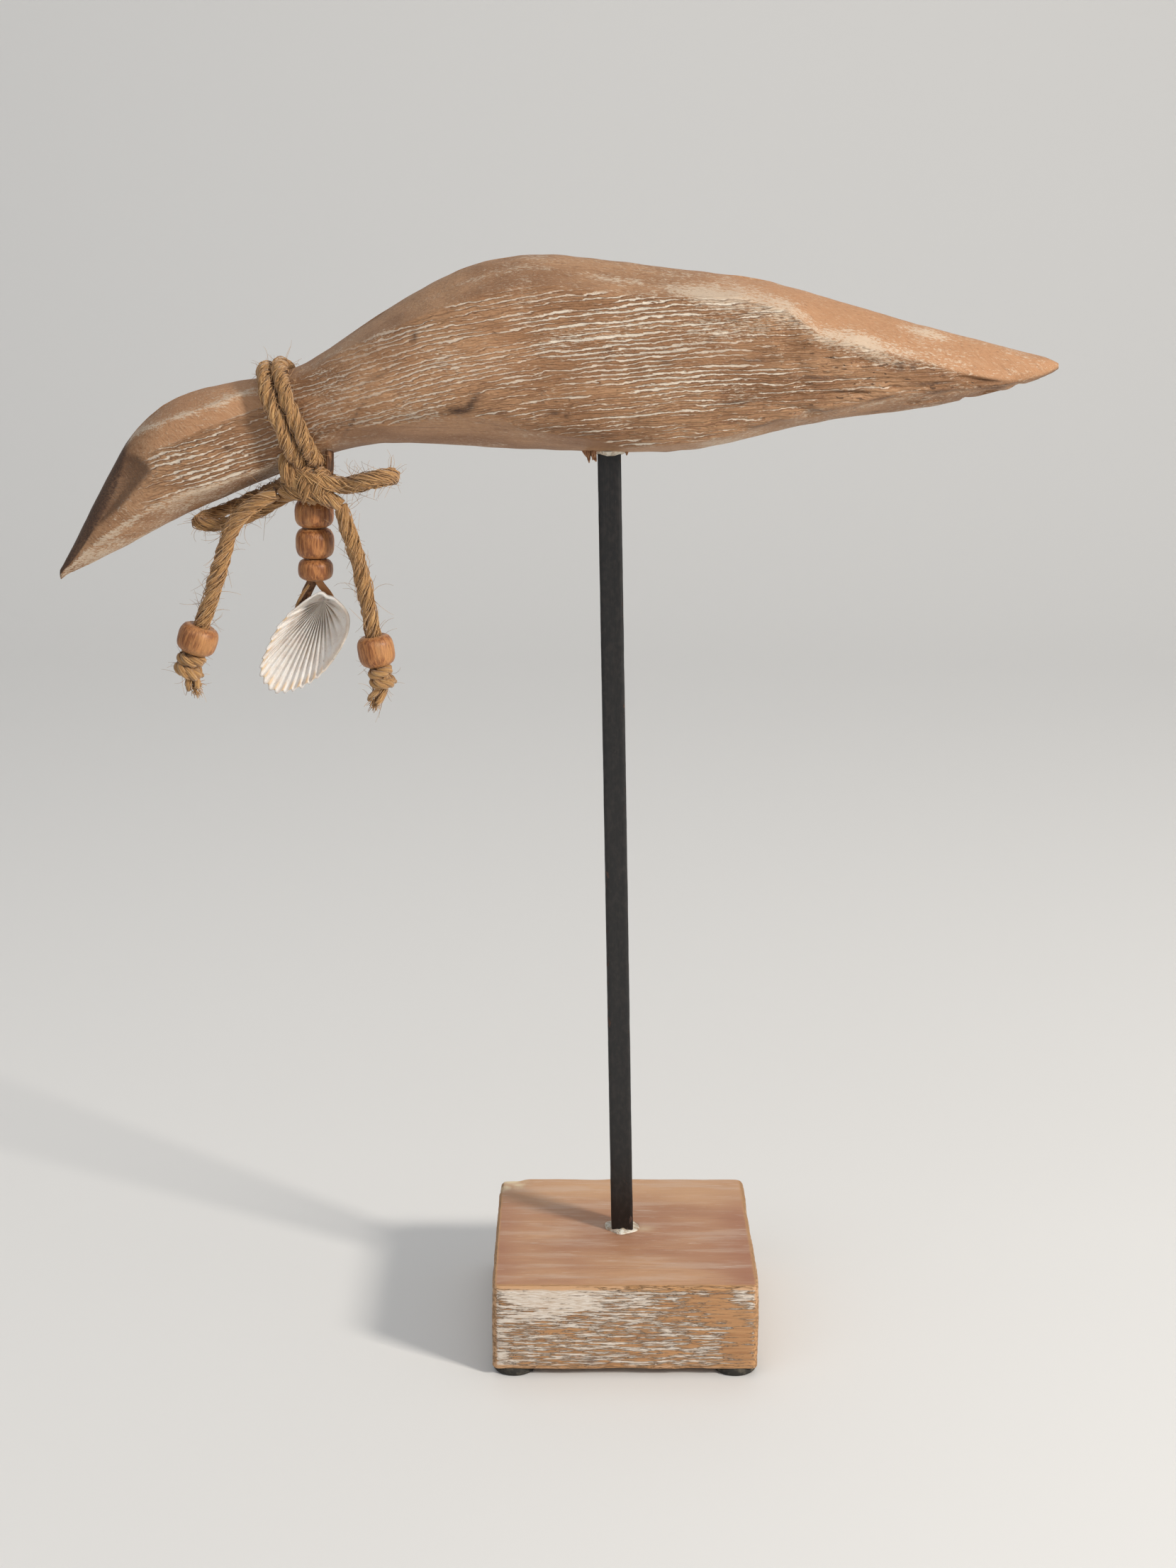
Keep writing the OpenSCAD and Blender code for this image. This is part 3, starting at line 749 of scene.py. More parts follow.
def carve_bird():
    """The carving: facets, scoop, knife marks and grooves, and where the coat of paint lies."""
    rows, columns = 310, 272
    xs = BILL_X + (TAIL_X - BILL_X) * np.linspace(0, 1, rows)
    x, angle = grid(xs, circle(columns))
    middle, high, half = profile(x)
    share = power(np.sin(angle))
    side = np.sign(power(np.cos(angle)))
    yz = facetted(x, share, side)
    z_side = middle + high * share
    flat = np.stack([x, 0 * x, z_side], -1) + side[:, None] * np.array([0, 40, 0])

    # Knife work: shallow hollows, and small wandering of every surface.
    out = np.stack([power(np.cos(angle)) * high, share * half], -1)
    out /= np.linalg.norm(out, axis=1)[:, None] + 1e-9
    depth = 0.45 * field(flat, 0.035, 0.09, 1) + 0.22 * field(flat, 0.16, 0.28, 2)
    scoop = inside_outline(x, z_side, SCOOP)
    depth -= 1.0 * smooth_step(scoop, -0.6, 3.0)
    turns = groove_turns(x, z_side)
    turns = turns + 0.34 * field(flat, 0.05, 0.10, 3) + 0.10 * field(flat, 0.25, 0.5, 4)
    upper, lower = edge_share(UPPER_EDGE, x), edge_share(LOWER_EDGE, x)
    head = on_head(x, z_side)
    head_band = edge_share(HEAD_BAND, x)
    band = np.where(head, head_band, upper)
    carved = smooth_step((band - share) * high, -0.4, 0.9) * smooth_step((share - lower) * high, -0.3, 0.8)
    carved *= smooth_step(x, -124, -118) * smooth_step(scoop, 0.3, -0.6)
    carved *= 1 - 0.5 * smooth_step(x, 62, 96)
    patchy = 0.72 + 0.5 * field(flat, 0.045, 0.10, 5)
    carved = np.clip(carved * (patchy + 0.35 * bump_at(x, 8, 34)), 0, 1)
    depth -= 0.16 * carved * (0.5 + 0.5 * np.cos(2 * np.pi * turns))
    rough_tail = smooth_step(x, 18, 50) * smooth_step((upper - share) * high, -0.5, 1.5)
    depth -= rough_tail * np.clip(field(flat, 0.16, 0.55, 6) - 0.12, 0, 1) * 2.0
    depth *= np.clip(half / 5, 0.15, 1)
    yz += depth[:, None] * out
    tip = smooth_step(x, -140, -145)
    yz[:, 1] += tip * 0.5 * field(flat, 0.6, 0.9, 7)
    points = np.stack([x, yz[:, 0], yz[:, 1]], -1)

    # How far, in millimetres up the side, a place is from each carved edge.
    near_upper, near_lower, near_band, near_ridge = (
        np.abs(share - edge) * high for edge in (upper, lower, head_band, edge_share(RIDGE, x))
    )
    tail = smooth_step(x, 8, 22)
    reach = np.where(head, 1.0, 1.0 + 1.9 * tail)
    on_edge = np.where(head, 0.95, 0.15 + 0.75 * tail * (1 - smooth_step(x, 58, 96)))
    haze = on_edge * bump_at(near_upper, 0.6 * tail, reach)
    haze += np.where(head, 0.35, 0.35 * tail) * bump_at(near_lower, 0, 0.9)
    haze += np.where(head & (x > -121), 0.35 * bump_at(near_band, 0, 0.6), 0)
    haze += np.where((x > -44) & (x < 20), 0.5 * bump_at(near_ridge, 0, 0.7), 0)
    haze += 0.62 * head * smooth_step((lower + 0.10 - share) * high, -0.5, 0.8)
    haze += 0.45 * tail * smooth_step((lower - share) * high, 0.2, 1.0)
    haze += 0.45 * bump_at(x, -60, 9) * bump_at(share, -0.45, 0.2)
    haze += 0.55 * bump_at(x, 22, 13) * bump_at(share, 0.45, 0.35)
    haze += 0.9 * bump_at(x, 73, 6) * bump_at(share, 0.85, 0.12)
    haze += 0.35 * field(flat, 0.05, 0.12, 8)
    chalk = 0.9 * bump_at(x, 4, 24) * bump_at(share, 0.2, 0.5) + 0.3 * head
    chalk += 0.3 * bump_at(x, -50, 18) + 0.35 * bump_at(x, -70, 12)
    chalk -= 0.22 * tail + 0.35 * bump_at(x, -20, 30) * bump_at(share, -0.6, 0.3)
    tail_top = smooth_step(x, 6, 30) * smooth_step((share - upper) * high, -0.4, 0.8)
    warm = tail_top + 0.7 * np.where(head & (share > band), smooth_step(x, -122, -116), 0)
    warm += 0.35 * bump_at(x, -40, 30) * bump_at(share, 0.1, 0.5)
    # Painted shade on the forehead, the scoop and the belly's lower edge, with cracks and knocks.
    dark = bird_marks(x, z_side, share, (share - lower) * high, scoop, head)
    pitted = rough_tail + 0.6 * bump_at(x, -19, 12) * bump_at(share, -0.54, 0.3)

    faces = grid_faces(rows, columns) + cap_faces(rows, columns)
    piece("bird", at_bird(points), faces, whitewashed_bird(), "bird_carving", slot="whitewashed_wood",
          grain=points, line=turns, carved=carved, haze=np.clip(haze, 0, 1.4), chalk=chalk,
          warm=np.clip(warm, 0, 1), dark=np.clip(dark, 0, 1), pitted=np.clip(pitted, 0, 1))


# Cracks and knocks: x, height share, half width, half height, and then strength and slope.
MARKS = (
    (-53, 0.45, 0.8, 1.5, 0.9, 1.2), (-39, -0.43, 2.2, 1.3, 0.95, 0.9), (-43, -0.52, 2.2, 0.9, 0.8),
    (-68, -0.42, 3.2, 0.5, 0.7, 1.6), (-62, 0.1, 4.0, 0.5, 0.5, 0.5), (9, 0.05, 2.2, 0.3, 0.7, 0.1),
    (19, 0.3, 1.6, 0.4, 0.7, 0.5), (66, 0.06, 1.0, 1.2, 0.8), (69, 0.08, 0.8, 0.9, 0.8),
    (-19, -0.54, 1.2, 0.6), (-16, -0.57, 0.7, 0.6), (30, 0.05, 5.0, 0.35, 0.8, 0.05),
    (44, -0.2, 6.0, 0.4, 0.9, -0.03), (52, -0.45, 5.0, 0.45, 0.8), (-100, -0.1, 1.0, 0.5),
    (74, -0.3, 6.0, 0.4, 0.8, 0.06), (25, -0.45, 3.5, 0.4, 0.8), (88, -0.35, 3.0, 0.5, 0.7),
)
DRILL_MARK = (-6, 0.09)  # a small ring on the side: x and height share


def bird_marks(x, z, share, above_lower, scoop, head):
    """Painted shade on the forehead facet, in the scoop and just above the belly's lower facet edge, and
    dark old cracks and knocks.
    """
    # Painted shade on the forehead facet and in the scoop.
    forehead = smooth_step(share - edge_share(FOREHEAD, x), -0.16, 0.02) * smooth_step(x, -124, -128)
    dark = 1.25 * forehead + 0.70 * smooth_step(scoop, -0.4, 0.9)
    # Painted shade just above the lower facet edge at the belly.
    belly = ~head * (1 - smooth_step(x, -6, 6))
    dark += 0.34 * belly * bump_at(above_lower, 1.3, 1.5)
    dark += 0.7 * smooth_step(x, 14, 34) * bump_at(above_lower, 0.1, 0.55) * (0.65 + 0.35 * np.sin(x / 2.3))

    def spot(at_x, at_share, wide, tall, strength=0.9, slope=0.0):
        middle, half, _ = profile(at_x)
        off = x - at_x
        rise = z - (middle + at_share * half) - slope * off
        return strength * np.exp(-(off / wide) ** 2 - (rise / tall) ** 2)

    for mark in MARKS:
        dark += spot(*mark)
    mark_x, mark_share = DRILL_MARK
    middle, half, _ = profile(mark_x)
    ring = np.hypot(x - mark_x, z - (middle + mark_share * half))
    return dark + 0.8 * bump_at(ring, 1.0, 0.3) * (0.7 + 0.3 * np.sin(x + z))


# ---------------------------------------------------------------- cords, made before the rest

LOOP_LEFT = [
    (-84.5, -7, -6.2), (-89, -2.6, -8.6), (-95, 2, -11.8), (-101, 4.6, -14.8), (-106, 4.2, -16.6),
    (-109, 1.4, -17.6), (-109.2, -1.8, -18), (-106, -3.9, -18.3), (-100, -3.6, -17.6),
    (-94, -3.7, -15.2), (-89, -4.8, -12.1), (-84.5, -7.4, -10.2),
]
LOOP_RIGHT = [
    (-75, -10.5, -7.2), (-70.5, -10.6, -7), (-66, -12.8, -5.8), (-61.5, -12.4, -5), (-59.3, -9, -5.2),
    (-61.5, -5.4, -6.2), (-66, -4.6, -7.2), (-70.5, -6.6, -7.9), (-75, -6.5, -7.8),
]
LEFT_BEND, LEFT_STOP = np.array([-99.8, -8.5, -18.5]), np.array([-111.6, -8.5, -53.4])
RIGHT_BEND, RIGHT_STOP = np.array([-67.7, -8.5, -29.0]), np.array([-63.0, -8.5, -56.4])
TAIL_LEFT = [(-88.5, -8.5, -9.5), (-95, -8.5, -13), LEFT_BEND, (2 * LEFT_BEND + LEFT_STOP) / 3,
             (LEFT_BEND + 2 * LEFT_STOP) / 3, LEFT_STOP, (-110.4, -8.5, -59.4)]
TAIL_RIGHT = [(-72.5, -8.5, -12.6), (-70.5, -8.5, -19.5), RIGHT_BEND, (RIGHT_BEND + RIGHT_STOP) / 2,
              RIGHT_STOP, (-64.6, -8.5, -63)]


def twine_cord(name, body, points, fray=0.0, start=0.0, radius=TWINE_R):
    """One free length of the twine, and the route that it follows."""
    route = smooth_route(points, STEP)
    strands = Strands()
    strands.twine(route, radius, start=start, fray=fray)
    rng = random.Random(len(name) * 7)
    fuzz = Strands()
    surface_fibres(fuzz, rng, route, radius, int(len(route) * 2.4))
    loose_hairs(fuzz, rng, route, radius, int(len(route) * 1.5), (1.6, 7.5), 0.065, 0.8)
    made = strands.made(name, JUTE, node=name, body=body, slot="jute_twine")
    fuzz.made(name + "_hairs", JUTE_HAIR, body=body, slot="jute_twine")
    return made, route


loop_left, loop_left_route = twine_cord("bow_loop_left", ROOT, LOOP_LEFT, radius=1.4)
loop_right, loop_right_route = twine_cord("bow_loop_right", ROOT, LOOP_RIGHT, start=1.0)
tail_left, tail_left_route = twine_cord("tail_left", "tail_left", TAIL_LEFT, 0.9, start=0.4)
tail_right, tail_right_route = twine_cord("tail_right", "tail_right", TAIL_RIGHT, 0.9, start=2.0)


# ---------------------------------------------------------------- lathed pieces

def axis_frame(up):
    """An axis at length 1 and two directions square to it. It never lies along y."""
    up = unit(up)
    one = unit(np.cross(up, (0, 1, 0)))
    return up, one, np.cross(up, one)


def lathe(name, rows, place, up, paint, sides=48, rough=0.0, seed=1, worn=None, **rest):
    """A solid of revolution from (radius, height) rows round an axis at a place, in bird millimetres."""
    up, one, two = axis_frame(up)
    rows = np.array(rows, float)
    r, h = np.repeat(rows[:, 0], sides), np.repeat(rows[:, 1], sides)
    c, s = np.tile(np.cos(circle(sides)), len(rows)), np.tile(np.sin(circle(sides)), len(rows))
    flat = np.stack([h, r * c, r * s], -1)
    if rough:
        r = r + rough * (field(flat, 0.45, 0.45, seed) + 0.5 * field(flat, 1.1, 1.1, seed + 9))
    points = np.array(place, float) + h[:, None] * up + (r * c)[:, None] * one + (r * s)[:, None] * two
    shares = {} if worn is None else {"worn": np.repeat(worn, sides)}
    closed = rows[0, 0] > 0.01 and np.allclose(rows[0], rows[-1])
    faces = grid_faces(len(rows), sides) + ([] if closed else cap_faces(len(rows), sides))
    return piece(name, at_bird(points), faces, paint, grain=flat + 13.0 * seed, **shares, **rest)


BORE_GAP, BEAD_DROP, BEAD_SOFT = 0.3, 0.28, 0.55  # round the cord, in the barrel, and at the ends


def bead(name, size, top, up, cord_r, node, body, seed):
    """A turned barrel bead with softened ends, its upper face at the top place."""
    r, high = size[0] / 2, size[1]
    bore = cord_r + BORE_GAP
    side, side_worn = [], []
    for f in np.linspace(0, 1, 15):
        level = 2 * f - 1
        edge = float(1 - smooth_step(np.array(1 - abs(level)) * high / 2, 0, BEAD_SOFT))
        side.append((r * (1 - BEAD_DROP * abs(level) ** 3.2) - 0.35 * edge, -high * f))
        side_worn.append(0.4 * edge)
    upper = [(bore + (side[0][0] - bore) * f, -0.12 * (1 - f) ** 2) for f in (0.0, 0.5, 0.85)]
    lower = [(q, -high - h) for q, h in reversed(upper)]
    inside = [(bore, -high + 0.4), (bore, -high / 2), (bore, -0.5), upper[0]]
    worn = [0.1] * len(upper) + side_worn + [0.1] * len(lower) + [0.0] * len(inside)
    return lathe(name, upper + side + lower + inside, top, up, BEAD, 44, 0.09, seed, worn,
                 node=node, body=body, slot="bead_wood")


def stop_knot(name, place, up, size, route_end, node, body, seed):
    """The twine's own overhand stop: two rough turns and a hitch across them."""
    up, one, two = axis_frame(up)
    r, high = size
    t = high / 4  # the twine's radius where it is pulled tight

    def spots(level, out, angle):
        """Places at a level along the knot's axis and a distance out from it."""
        round_it = np.outer(np.cos(angle), one) + np.outer(np.sin(angle), two)
        return place + np.outer(level + 0 * angle, up) + out * round_it

    strands = Strands()
    for level, tilt in ((-t, 0.35), (t, -0.3)):
        ring = spots(level + tilt * np.cos(circle(40)), r - t, circle(40))
        strands.twine(ring, t * 0.98, 6.5, closed=True, start=seed)
    rng = random.Random(seed)
    hitch = spots(np.linspace(-1.6 * t, 1.6 * t, 9), r + 0.1 * t, np.linspace(-2.5, -0.9, 9))
    strands.twine(smooth_route(hitch, STEP), t * 0.7, 8, start=1.5)
    for angle in circle(6):
        core = spots(np.array([-0.9 * t, 0.9 * t]), 0.45 * (r - t), np.array([angle, angle]))
        strands.tube(smooth_route(core, STEP), 0.5 * (r - t), 7)
    made = strands.made(name, JUTE, node=node, body=body, slot="jute_twine")
    fuzz = Strands()
    loose_hairs(fuzz, rng, route_end, TWINE_R, 26, (2.0, 5.5), 0.06, 0.5)
    end = route_end[-1]
    down = unit(end - route_end[-3])
    for _ in range(70):
        spread = jitter(rng, 0.28)
        start = end - down * 0.8 + jitter(rng, 0.55)
        line = curl(rng, start, down + spread, rng.uniform(1.2, 3.4), rng.uniform(0.1, 0.9), 5)
        fuzz.tube(line, np.linspace(0.11, 0.05, len(line)), 4)
    frayed = fuzz.made(name + "_fray", JUTE_HAIR, body=body, slot="jute_twine")
    return made, frayed


def tail_pieces(side, bend, stop_at, bead_size, stop_size, route, seed):
    """A tail's bead and stop knot, each square to the tail's straight end."""
    up = unit(bend - stop_at)
    top = stop_at + up * (stop_size[1] / 2 + 0.3 + bead_size[1])
    ball = bead(f"tail_{side}_bead", bead_size, top, up, TWINE_R, f"tail_{side}_bead",
                f"tail_{side}_bead", seed)
    stop = stop_knot(f"tail_{side}_stop", stop_at, up, stop_size, route, f"tail_{side}_stop",
                     f"tail_{side}", seed)
    return [ball, *stop]


left_pieces = tail_pieces("left", LEFT_BEND, LEFT_STOP, (10.2, 7.2), (3.8, 6.4), tail_left_route, 3)
right_pieces = tail_pieces("right", RIGHT_BEND, RIGHT_STOP, (9.4, 7.8), (3.4, 5.6), tail_right_route, 5)


# ---------------------------------------------------------------- the necklace on the neck

NECK_SLANT = math.radians(18.8)


def neck_route(x, lift):
    """A turn square across the slanting neck: its height gives its x, and that its section."""
    height = on_section(x, circle(150), lift)[:, 2] - profile(x)[0]
    return on_section(x - height * math.tan(NECK_SLANT), circle(150), lift)


def neck_turns():
    rng = random.Random(11)
    for name, x in (("neck_turn_front", -86.5), ("neck_turn_rear", -82.7)):
        route = neck_route(x, TWINE_R + 0.05)
        strands, fuzz = Strands(), Strands()
        strands.twine(route, TWINE_R, 15, closed=True, first=(1, 0, 0), start=x)
        hairy(fuzz, rng, route, 340, 190, True, (1.6, 6.5))
        strands.made(name, JUTE, node=name, slot="jute_twine")
        fuzz.made(name + "_hairs", JUTE_HAIR, slot="jute_twine")


KNOT_Y, KNOT_Z = -9.2, -7.5


def bow_knot():
    """The bow's knot: crossing strands from side to side, and two wraps over their middle."""
    strands, fuzz = Strands(), Strands()
    rng = random.Random(23)
    crossing = [
        [(-86.5, -8.0, -5.6), (-83, -10.6, -5.2), (-79, -11.6, -5.8), (-75, -11.2, -6.8),
         (-71.5, -9.4, -7.2)],
        [(-87, -8.2, -9.0), (-83, -10.4, -9.2), (-79, -11.2, -9.4), (-75.5, -10.4, -10.6),
         (-72.5, -8.9, -12.4)],
        [(-86, -7.6, -9.8), (-82, -6.6, -8.0), (-78, -6.2, -6.6), (-72.5, -7.4, -7.0)],
        [(-85.4, -7.2, 1.0), (-85.8, -10.0, -2.2), (-84.2, -10.8, -5.6), (-81.5, -9.8, -9.2),
         (-78.5, -8.6, -10.8)],
    ]
    for i, points in enumerate(crossing):
        route = smooth_route(points, STEP)
        strands.twine(route, TWINE_R, 13, start=1.3 * i)
        hairy(fuzz, rng, route, 60, 24)
    turn = circle(56)
    for x, slant, r, start in ((-80.3, 0.5, 3.1, 0.0), (-76.9, 0.8, 2.9, 2.0)):
        ring = np.stack([
            x + slant * np.cos(turn), KNOT_Y + (r - 0.3) * np.cos(turn), KNOT_Z + r * np.sin(turn)
        ], -1)
        strands.twine(ring, TWINE_R * 0.92, 12, closed=True, first=(1, 0, 0), start=start)
        hairy(fuzz, rng, ring, 60, 26, True)
    strands.made("bow_knot", JUTE, node="bow_knot", slot="jute_twine")
    fuzz.made("bow_knot_hairs", JUTE_HAIR, slot="jute_twine")


LACE_STEP, LACE_SIDES = 0.4, 14


def flat_lace(name, points, width, thick, body, node=None, face=(0, 1, 0), worn=0.2, seed=1, twist=0.0):
    """A flat strip of lace along a route, its broad side towards face and turning by twist."""
    route = smooth_route(points, LACE_STEP)
    ahead = unit(np.gradient(route, axis=0))
    flat_side = unit(np.array(face, float) - (ahead @ np.array(face, float))[:, None] * ahead)
    broad = np.cross(ahead, flat_side)
    turn = circle(LACE_SIDES)
    run = np.arange(len(route)) * LACE_STEP
    roll = (twist * run / run[-1])[:, None]
    c, s = power(np.cos(turn), 0.5), power(np.sin(turn), 0.5)
    wave = 1 + 0.12 * line_field(run, 0.4, seed)[:, None]
    a, b = width / 2 * wave * c, thick / 2 * s + 0 * wave
    u, v = a * np.cos(roll) - b * np.sin(roll), a * np.sin(roll) + b * np.cos(roll)
    points = route[:, None] + u[..., None] * broad[:, None] + v[..., None] * flat_side[:, None]
    grain = np.stack([np.repeat(run, LACE_SIDES), a.ravel(), b.ravel()], -1) + 11.0 * seed
    edge = np.abs(np.tile(c, len(route))) ** 8
    faces = grid_faces(len(route), LACE_SIDES) + cap_faces(len(route), LACE_SIDES)
    piece(name, at_bird(points.reshape(-1, 3)), faces, LACE, node, body, "brown_lace",
          grain=grain, worn=np.clip(worn + 0.35 * edge, 0, 1))


def pendant():
    """The lace behind the knot, the doubled lace below it and its three beads."""
    x, y = -79.7, -2.4
    behind_knot = [(-75.2, -5.6, 0.4), (-74.9, -8.2, -2.4), (-75.2, -8.6, -5.0), (-76.8, -6.4, -8.4)]
    hanger = [(x - 0.2, y, -6.4), (x, y, -4.6), (x + 0.1, y, -3)]
    one = [(x - 0.6, y - 0.3, -7.4), (x - 0.7, y - 0.4, -11), (x - 0.2, y - 0.5, -20),
           (x - 0.6, y - 0.3, -28), (x - 0.7, y - 0.2, -32.4)]
    two = [(x + 0.7, y + 0.3, -7.4), (x + 0.5, y + 0.4, -11), (x + 0.2, y + 0.5, -20),
           (x + 0.6, y + 0.3, -28), (x + 0.7, y + 0.2, -32.3)]
    flat_lace("knot_lace", behind_knot, 2.0, 0.9, ROOT, face=(0.3, -1, 0), seed=12, worn=0.0)
    flat_lace("lace_hanger", hanger, 3.0, 1.5, ROOT, "lace_hanger")
    flat_lace("pendant_lace_one", one, 1.9, 1.1, "pendant", "pendant_lace", seed=2, twist=0.8)
    flat_lace("pendant_lace_two", two, 1.8, 1.1, "pendant", seed=4, twist=-0.6, worn=0.5)
    for part, size, top, seed in (
        ("top", (9.9, 7.1), -11.8, 7), ("middle", (9.8, 7.5), -19.2, 8), ("bottom", (8.9, 5.4), -27.0, 9)
    ):
        bead(f"pendant_bead_{part}", size, (x, y, top), (0, 0, 1), 1.5, f"pendant_bead_{part}",
             f"bead_{part}", seed)


def shell_laces():
    """The shell's two laces, a loose fibre beside them, and their knot behind the shell."""
    drop = "shell_drop"
    left = [(-80.1, -2.4, -32.1), (-81.0, -2.2, -33.6), (-82.6, -0.6, -37), (-83.2, 0.8, -41),
            (-82.4, 1.6, -46)]
    right = [(-79.3, -2.4, -32.1), (-78.5, -2.4, -33.6), (-76.3, -0.4, -37.4), (-76.2, 2.0, -42),
             (-78.8, 1.6, -46)]
    beside = [(-81.4, -2.6, -33.6), (-84.0, -1.6, -37.6), (-85.2, -0.4, -41), (-84.6, 1.2, -45)]
    flat_lace("shell_lace_left", left, 2.7, 0.9, drop, "shell_lace_left",
              face=(0.2, -1, 0), seed=6, worn=0.05, twist=0.3)
    flat_lace("shell_lace_right", right, 1.9, 0.8, drop, "shell_lace_right",
              face=(0, -1, 0), seed=7, worn=1.0)
    fibre = Strands()
    route = smooth_route(beside, STEP)
    fibre.tube(route, 0.42, 7)
    rng = random.Random(31)
    loose_hairs(fibre, rng, route, 0.4, 14, (1.0, 3.0), 0.05)
    fibre.made("shell_lace_fibre", JUTE, body=drop, slot="brown_lace")
    knot = Strands()
    for i, tilt in enumerate((0.3, -0.5, 0.9)):
        turn = circle(30)
        ring = np.stack([-80.4 + 1.4 * np.cos(turn), 1.4 + 0.9 * np.sin(turn + i),
                         -46.6 + 1.3 * np.sin(turn) * math.cos(tilt)], -1)
        knot.tube(ring, 0.62, 8, closed=True)
    knot.made("shell_lace_knot", LACE, node="shell_lace_knot", body=drop, slot="brown_lace")


# ---------------------------------------------------------------- the shell

# The shell's outline, its ribs' meeting point and its middle: millimetres down from the beak and across.
SHELL_EDGE = np.array([
    (0, 0), (-0.4, 3), (-0.4, 5.8), (2, 10.4), (8, 12.2), (17.4, 11), (24.2, 7.6), (28.8, 2),
    (27.2, -2.8), (23.6, -4.9), (13.5, -5.3), (6.9, -3.5),
])
SHELL_PEAK, SHELL_MIDDLE = np.array([1.8, 2.4]), np.array([13.5, 3.4])
SHELL_BEAK, SHELL_TURN, SHELL_DEPTH = np.array([-79, -6.5, -34.6]), math.radians(26.7), 6.5
RIB_COUNT = 21


def shell():
    """A ribbed half shell, its hollow to the front: ribs fan from beside the beak to the rim."""
    rays, rings = 260, 44
    edge = smooth_route(np.pad(SHELL_EDGE, ((0, 0), (0, 1))), 0.1, closed=True)[:, :2]
    edge = edge[np.linspace(0, len(edge), rays, endpoint=False).astype(int)]
    out = edge - SHELL_PEAK
    angle = np.unwrap(np.arctan2(out[:, 1], out[:, 0]))
    angle -= angle[0]
    long = np.linalg.norm(out, axis=1)
    # The ribs lie closer together where they run far, down the shell's length.
    weight = np.cumsum(long ** 0.9)
    rib = 2 * np.pi * RIB_COUNT * weight / weight[-1]
    ribbed = smooth_step(long, 5, 11)
    wander = 0.25 * np.sin(3.1 * angle) + 0.18 * np.sin(7.7 * angle + 1)
    ridge = np.cos(rib + wander)
    # The rim is smooth and rolled from beside the beak down one side.
    rolled = smooth_step(edge[:, 1], 4.5, 8.0) * smooth_step(edge[:, 0], 24, 15)
    tooth = (0.22 + 0.28 * (1 - rolled)) * ribbed * ridge * (1 - 0.8 * rolled)
    edge = SHELL_PEAK + out * (1 - np.clip(0.4 - tooth, 0, 1)[:, None] / long[:, None])
    layers = [(f, 0) for f in np.linspace(0.03, 1, rings)] + [(1.0, 0.5)]
    layers += [(f, 1) for f in np.linspace(1, 0.03, rings)]
    points, grain, lip, dirt = [], [], [], []
    for f, inner in layers:
        flat = SHELL_PEAK + f * (edge - SHELL_PEAK)
        flat = SHELL_MIDDLE + (1 - 0.055 * inner) * (flat - SHELL_MIDDLE)
        shoulder = 0.65 + 0.35 * math.sin(math.pi / 2 * min(1, 2.5 * f))
        rise = SHELL_DEPTH * max(1 - f ** 2.2, 0) ** 0.7 * shoulder
        grow = min(1, f / 0.35)
        wave = 0.46 * grow * (1 - 0.6 * rolled * f) * ribbed * ridge * (1 - 0.35 * f)
        steps = 0.10 * np.sin(26 * f + 2 * np.sin(angle)) * grow * (1 - rolled)
        back = (1 - 0.15 * inner) * rise + (wave + steps) * min(1, 3 * (1 - f) + 0.25)
        back = np.where(inner == 0.5, back - 0.15, np.maximum(back, 0.05))
        back = back - 0.5 * rolled * math.exp(-((1 - f) / 0.10) ** 2) * (0.4 if inner == 0.5 else 1)
        points.append(np.column_stack([flat, back]))
        grain.append(np.column_stack([f * long, weight / weight[-1] * 60, back]))
        # Painted shade in the valleys between the ribs near the beak, stronger towards the upper side.
        valley = smooth_step(ridge, 0.15, 0.95) if inner else smooth_step(-ridge, 0.2, 0.95)
        near_beak = smooth_step(np.array(f), 0.92, 0.25) * ribbed
        upper = 0.45 + 0.55 * smooth_step(edge[:, 1], -2, 8)
        dirt.append(np.clip(1.1 * valley * near_beak * upper, 0, 1) * (0.4 if not inner else 1))
        margin = smooth_step(np.array(f), 0.90, 0.985)
        notch = smooth_step(-ridge, 0.2, 0.8) * margin * (1 - rolled) * ribbed
        lip.append(np.clip(0.85 * notch + 0.30 * rolled * margin, 0, 1))
    local = np.concatenate(points)
    u, v, w = local.T
    c, s = math.cos(SHELL_TURN), math.sin(SHELL_TURN)
    placed = SHELL_BEAK + np.column_stack([v * c - u * s, w, -v * s - u * c])
    count = len(layers)
    faces = grid_faces(count, rays) + cap_faces(count, rays)
    faces = [list(reversed(face)) for face in faces]
    piece("shell", at_bird(placed), faces, shell_white(), "shell", "shell_drop", "shell",
          grain=np.concatenate(grain), lip=np.concatenate(lip), dirt=np.concatenate(dirt))


# ---------------------------------------------------------------- base, rod and glue

STAND = np.array([BIRD[0] / MM, (base_low.y + base_high.y) / 2 / MM, 0])
BLOCK_LOW, BLOCK_HIGH = base_low.z / MM, base_high.z / MM
BLOCK_SIDE = (base_high.x - base_low.x) / MM
ROD_FOOT, ROD_LEAN, ROD_FREE = np.array([-0.3, 1.5, 0]), math.radians(1.35), 211.5


def in_stand(points):
    """Points from the base's middle at the floor, in the bird's own frame."""
    return np.asarray(points, float) + STAND - BIRD / MM


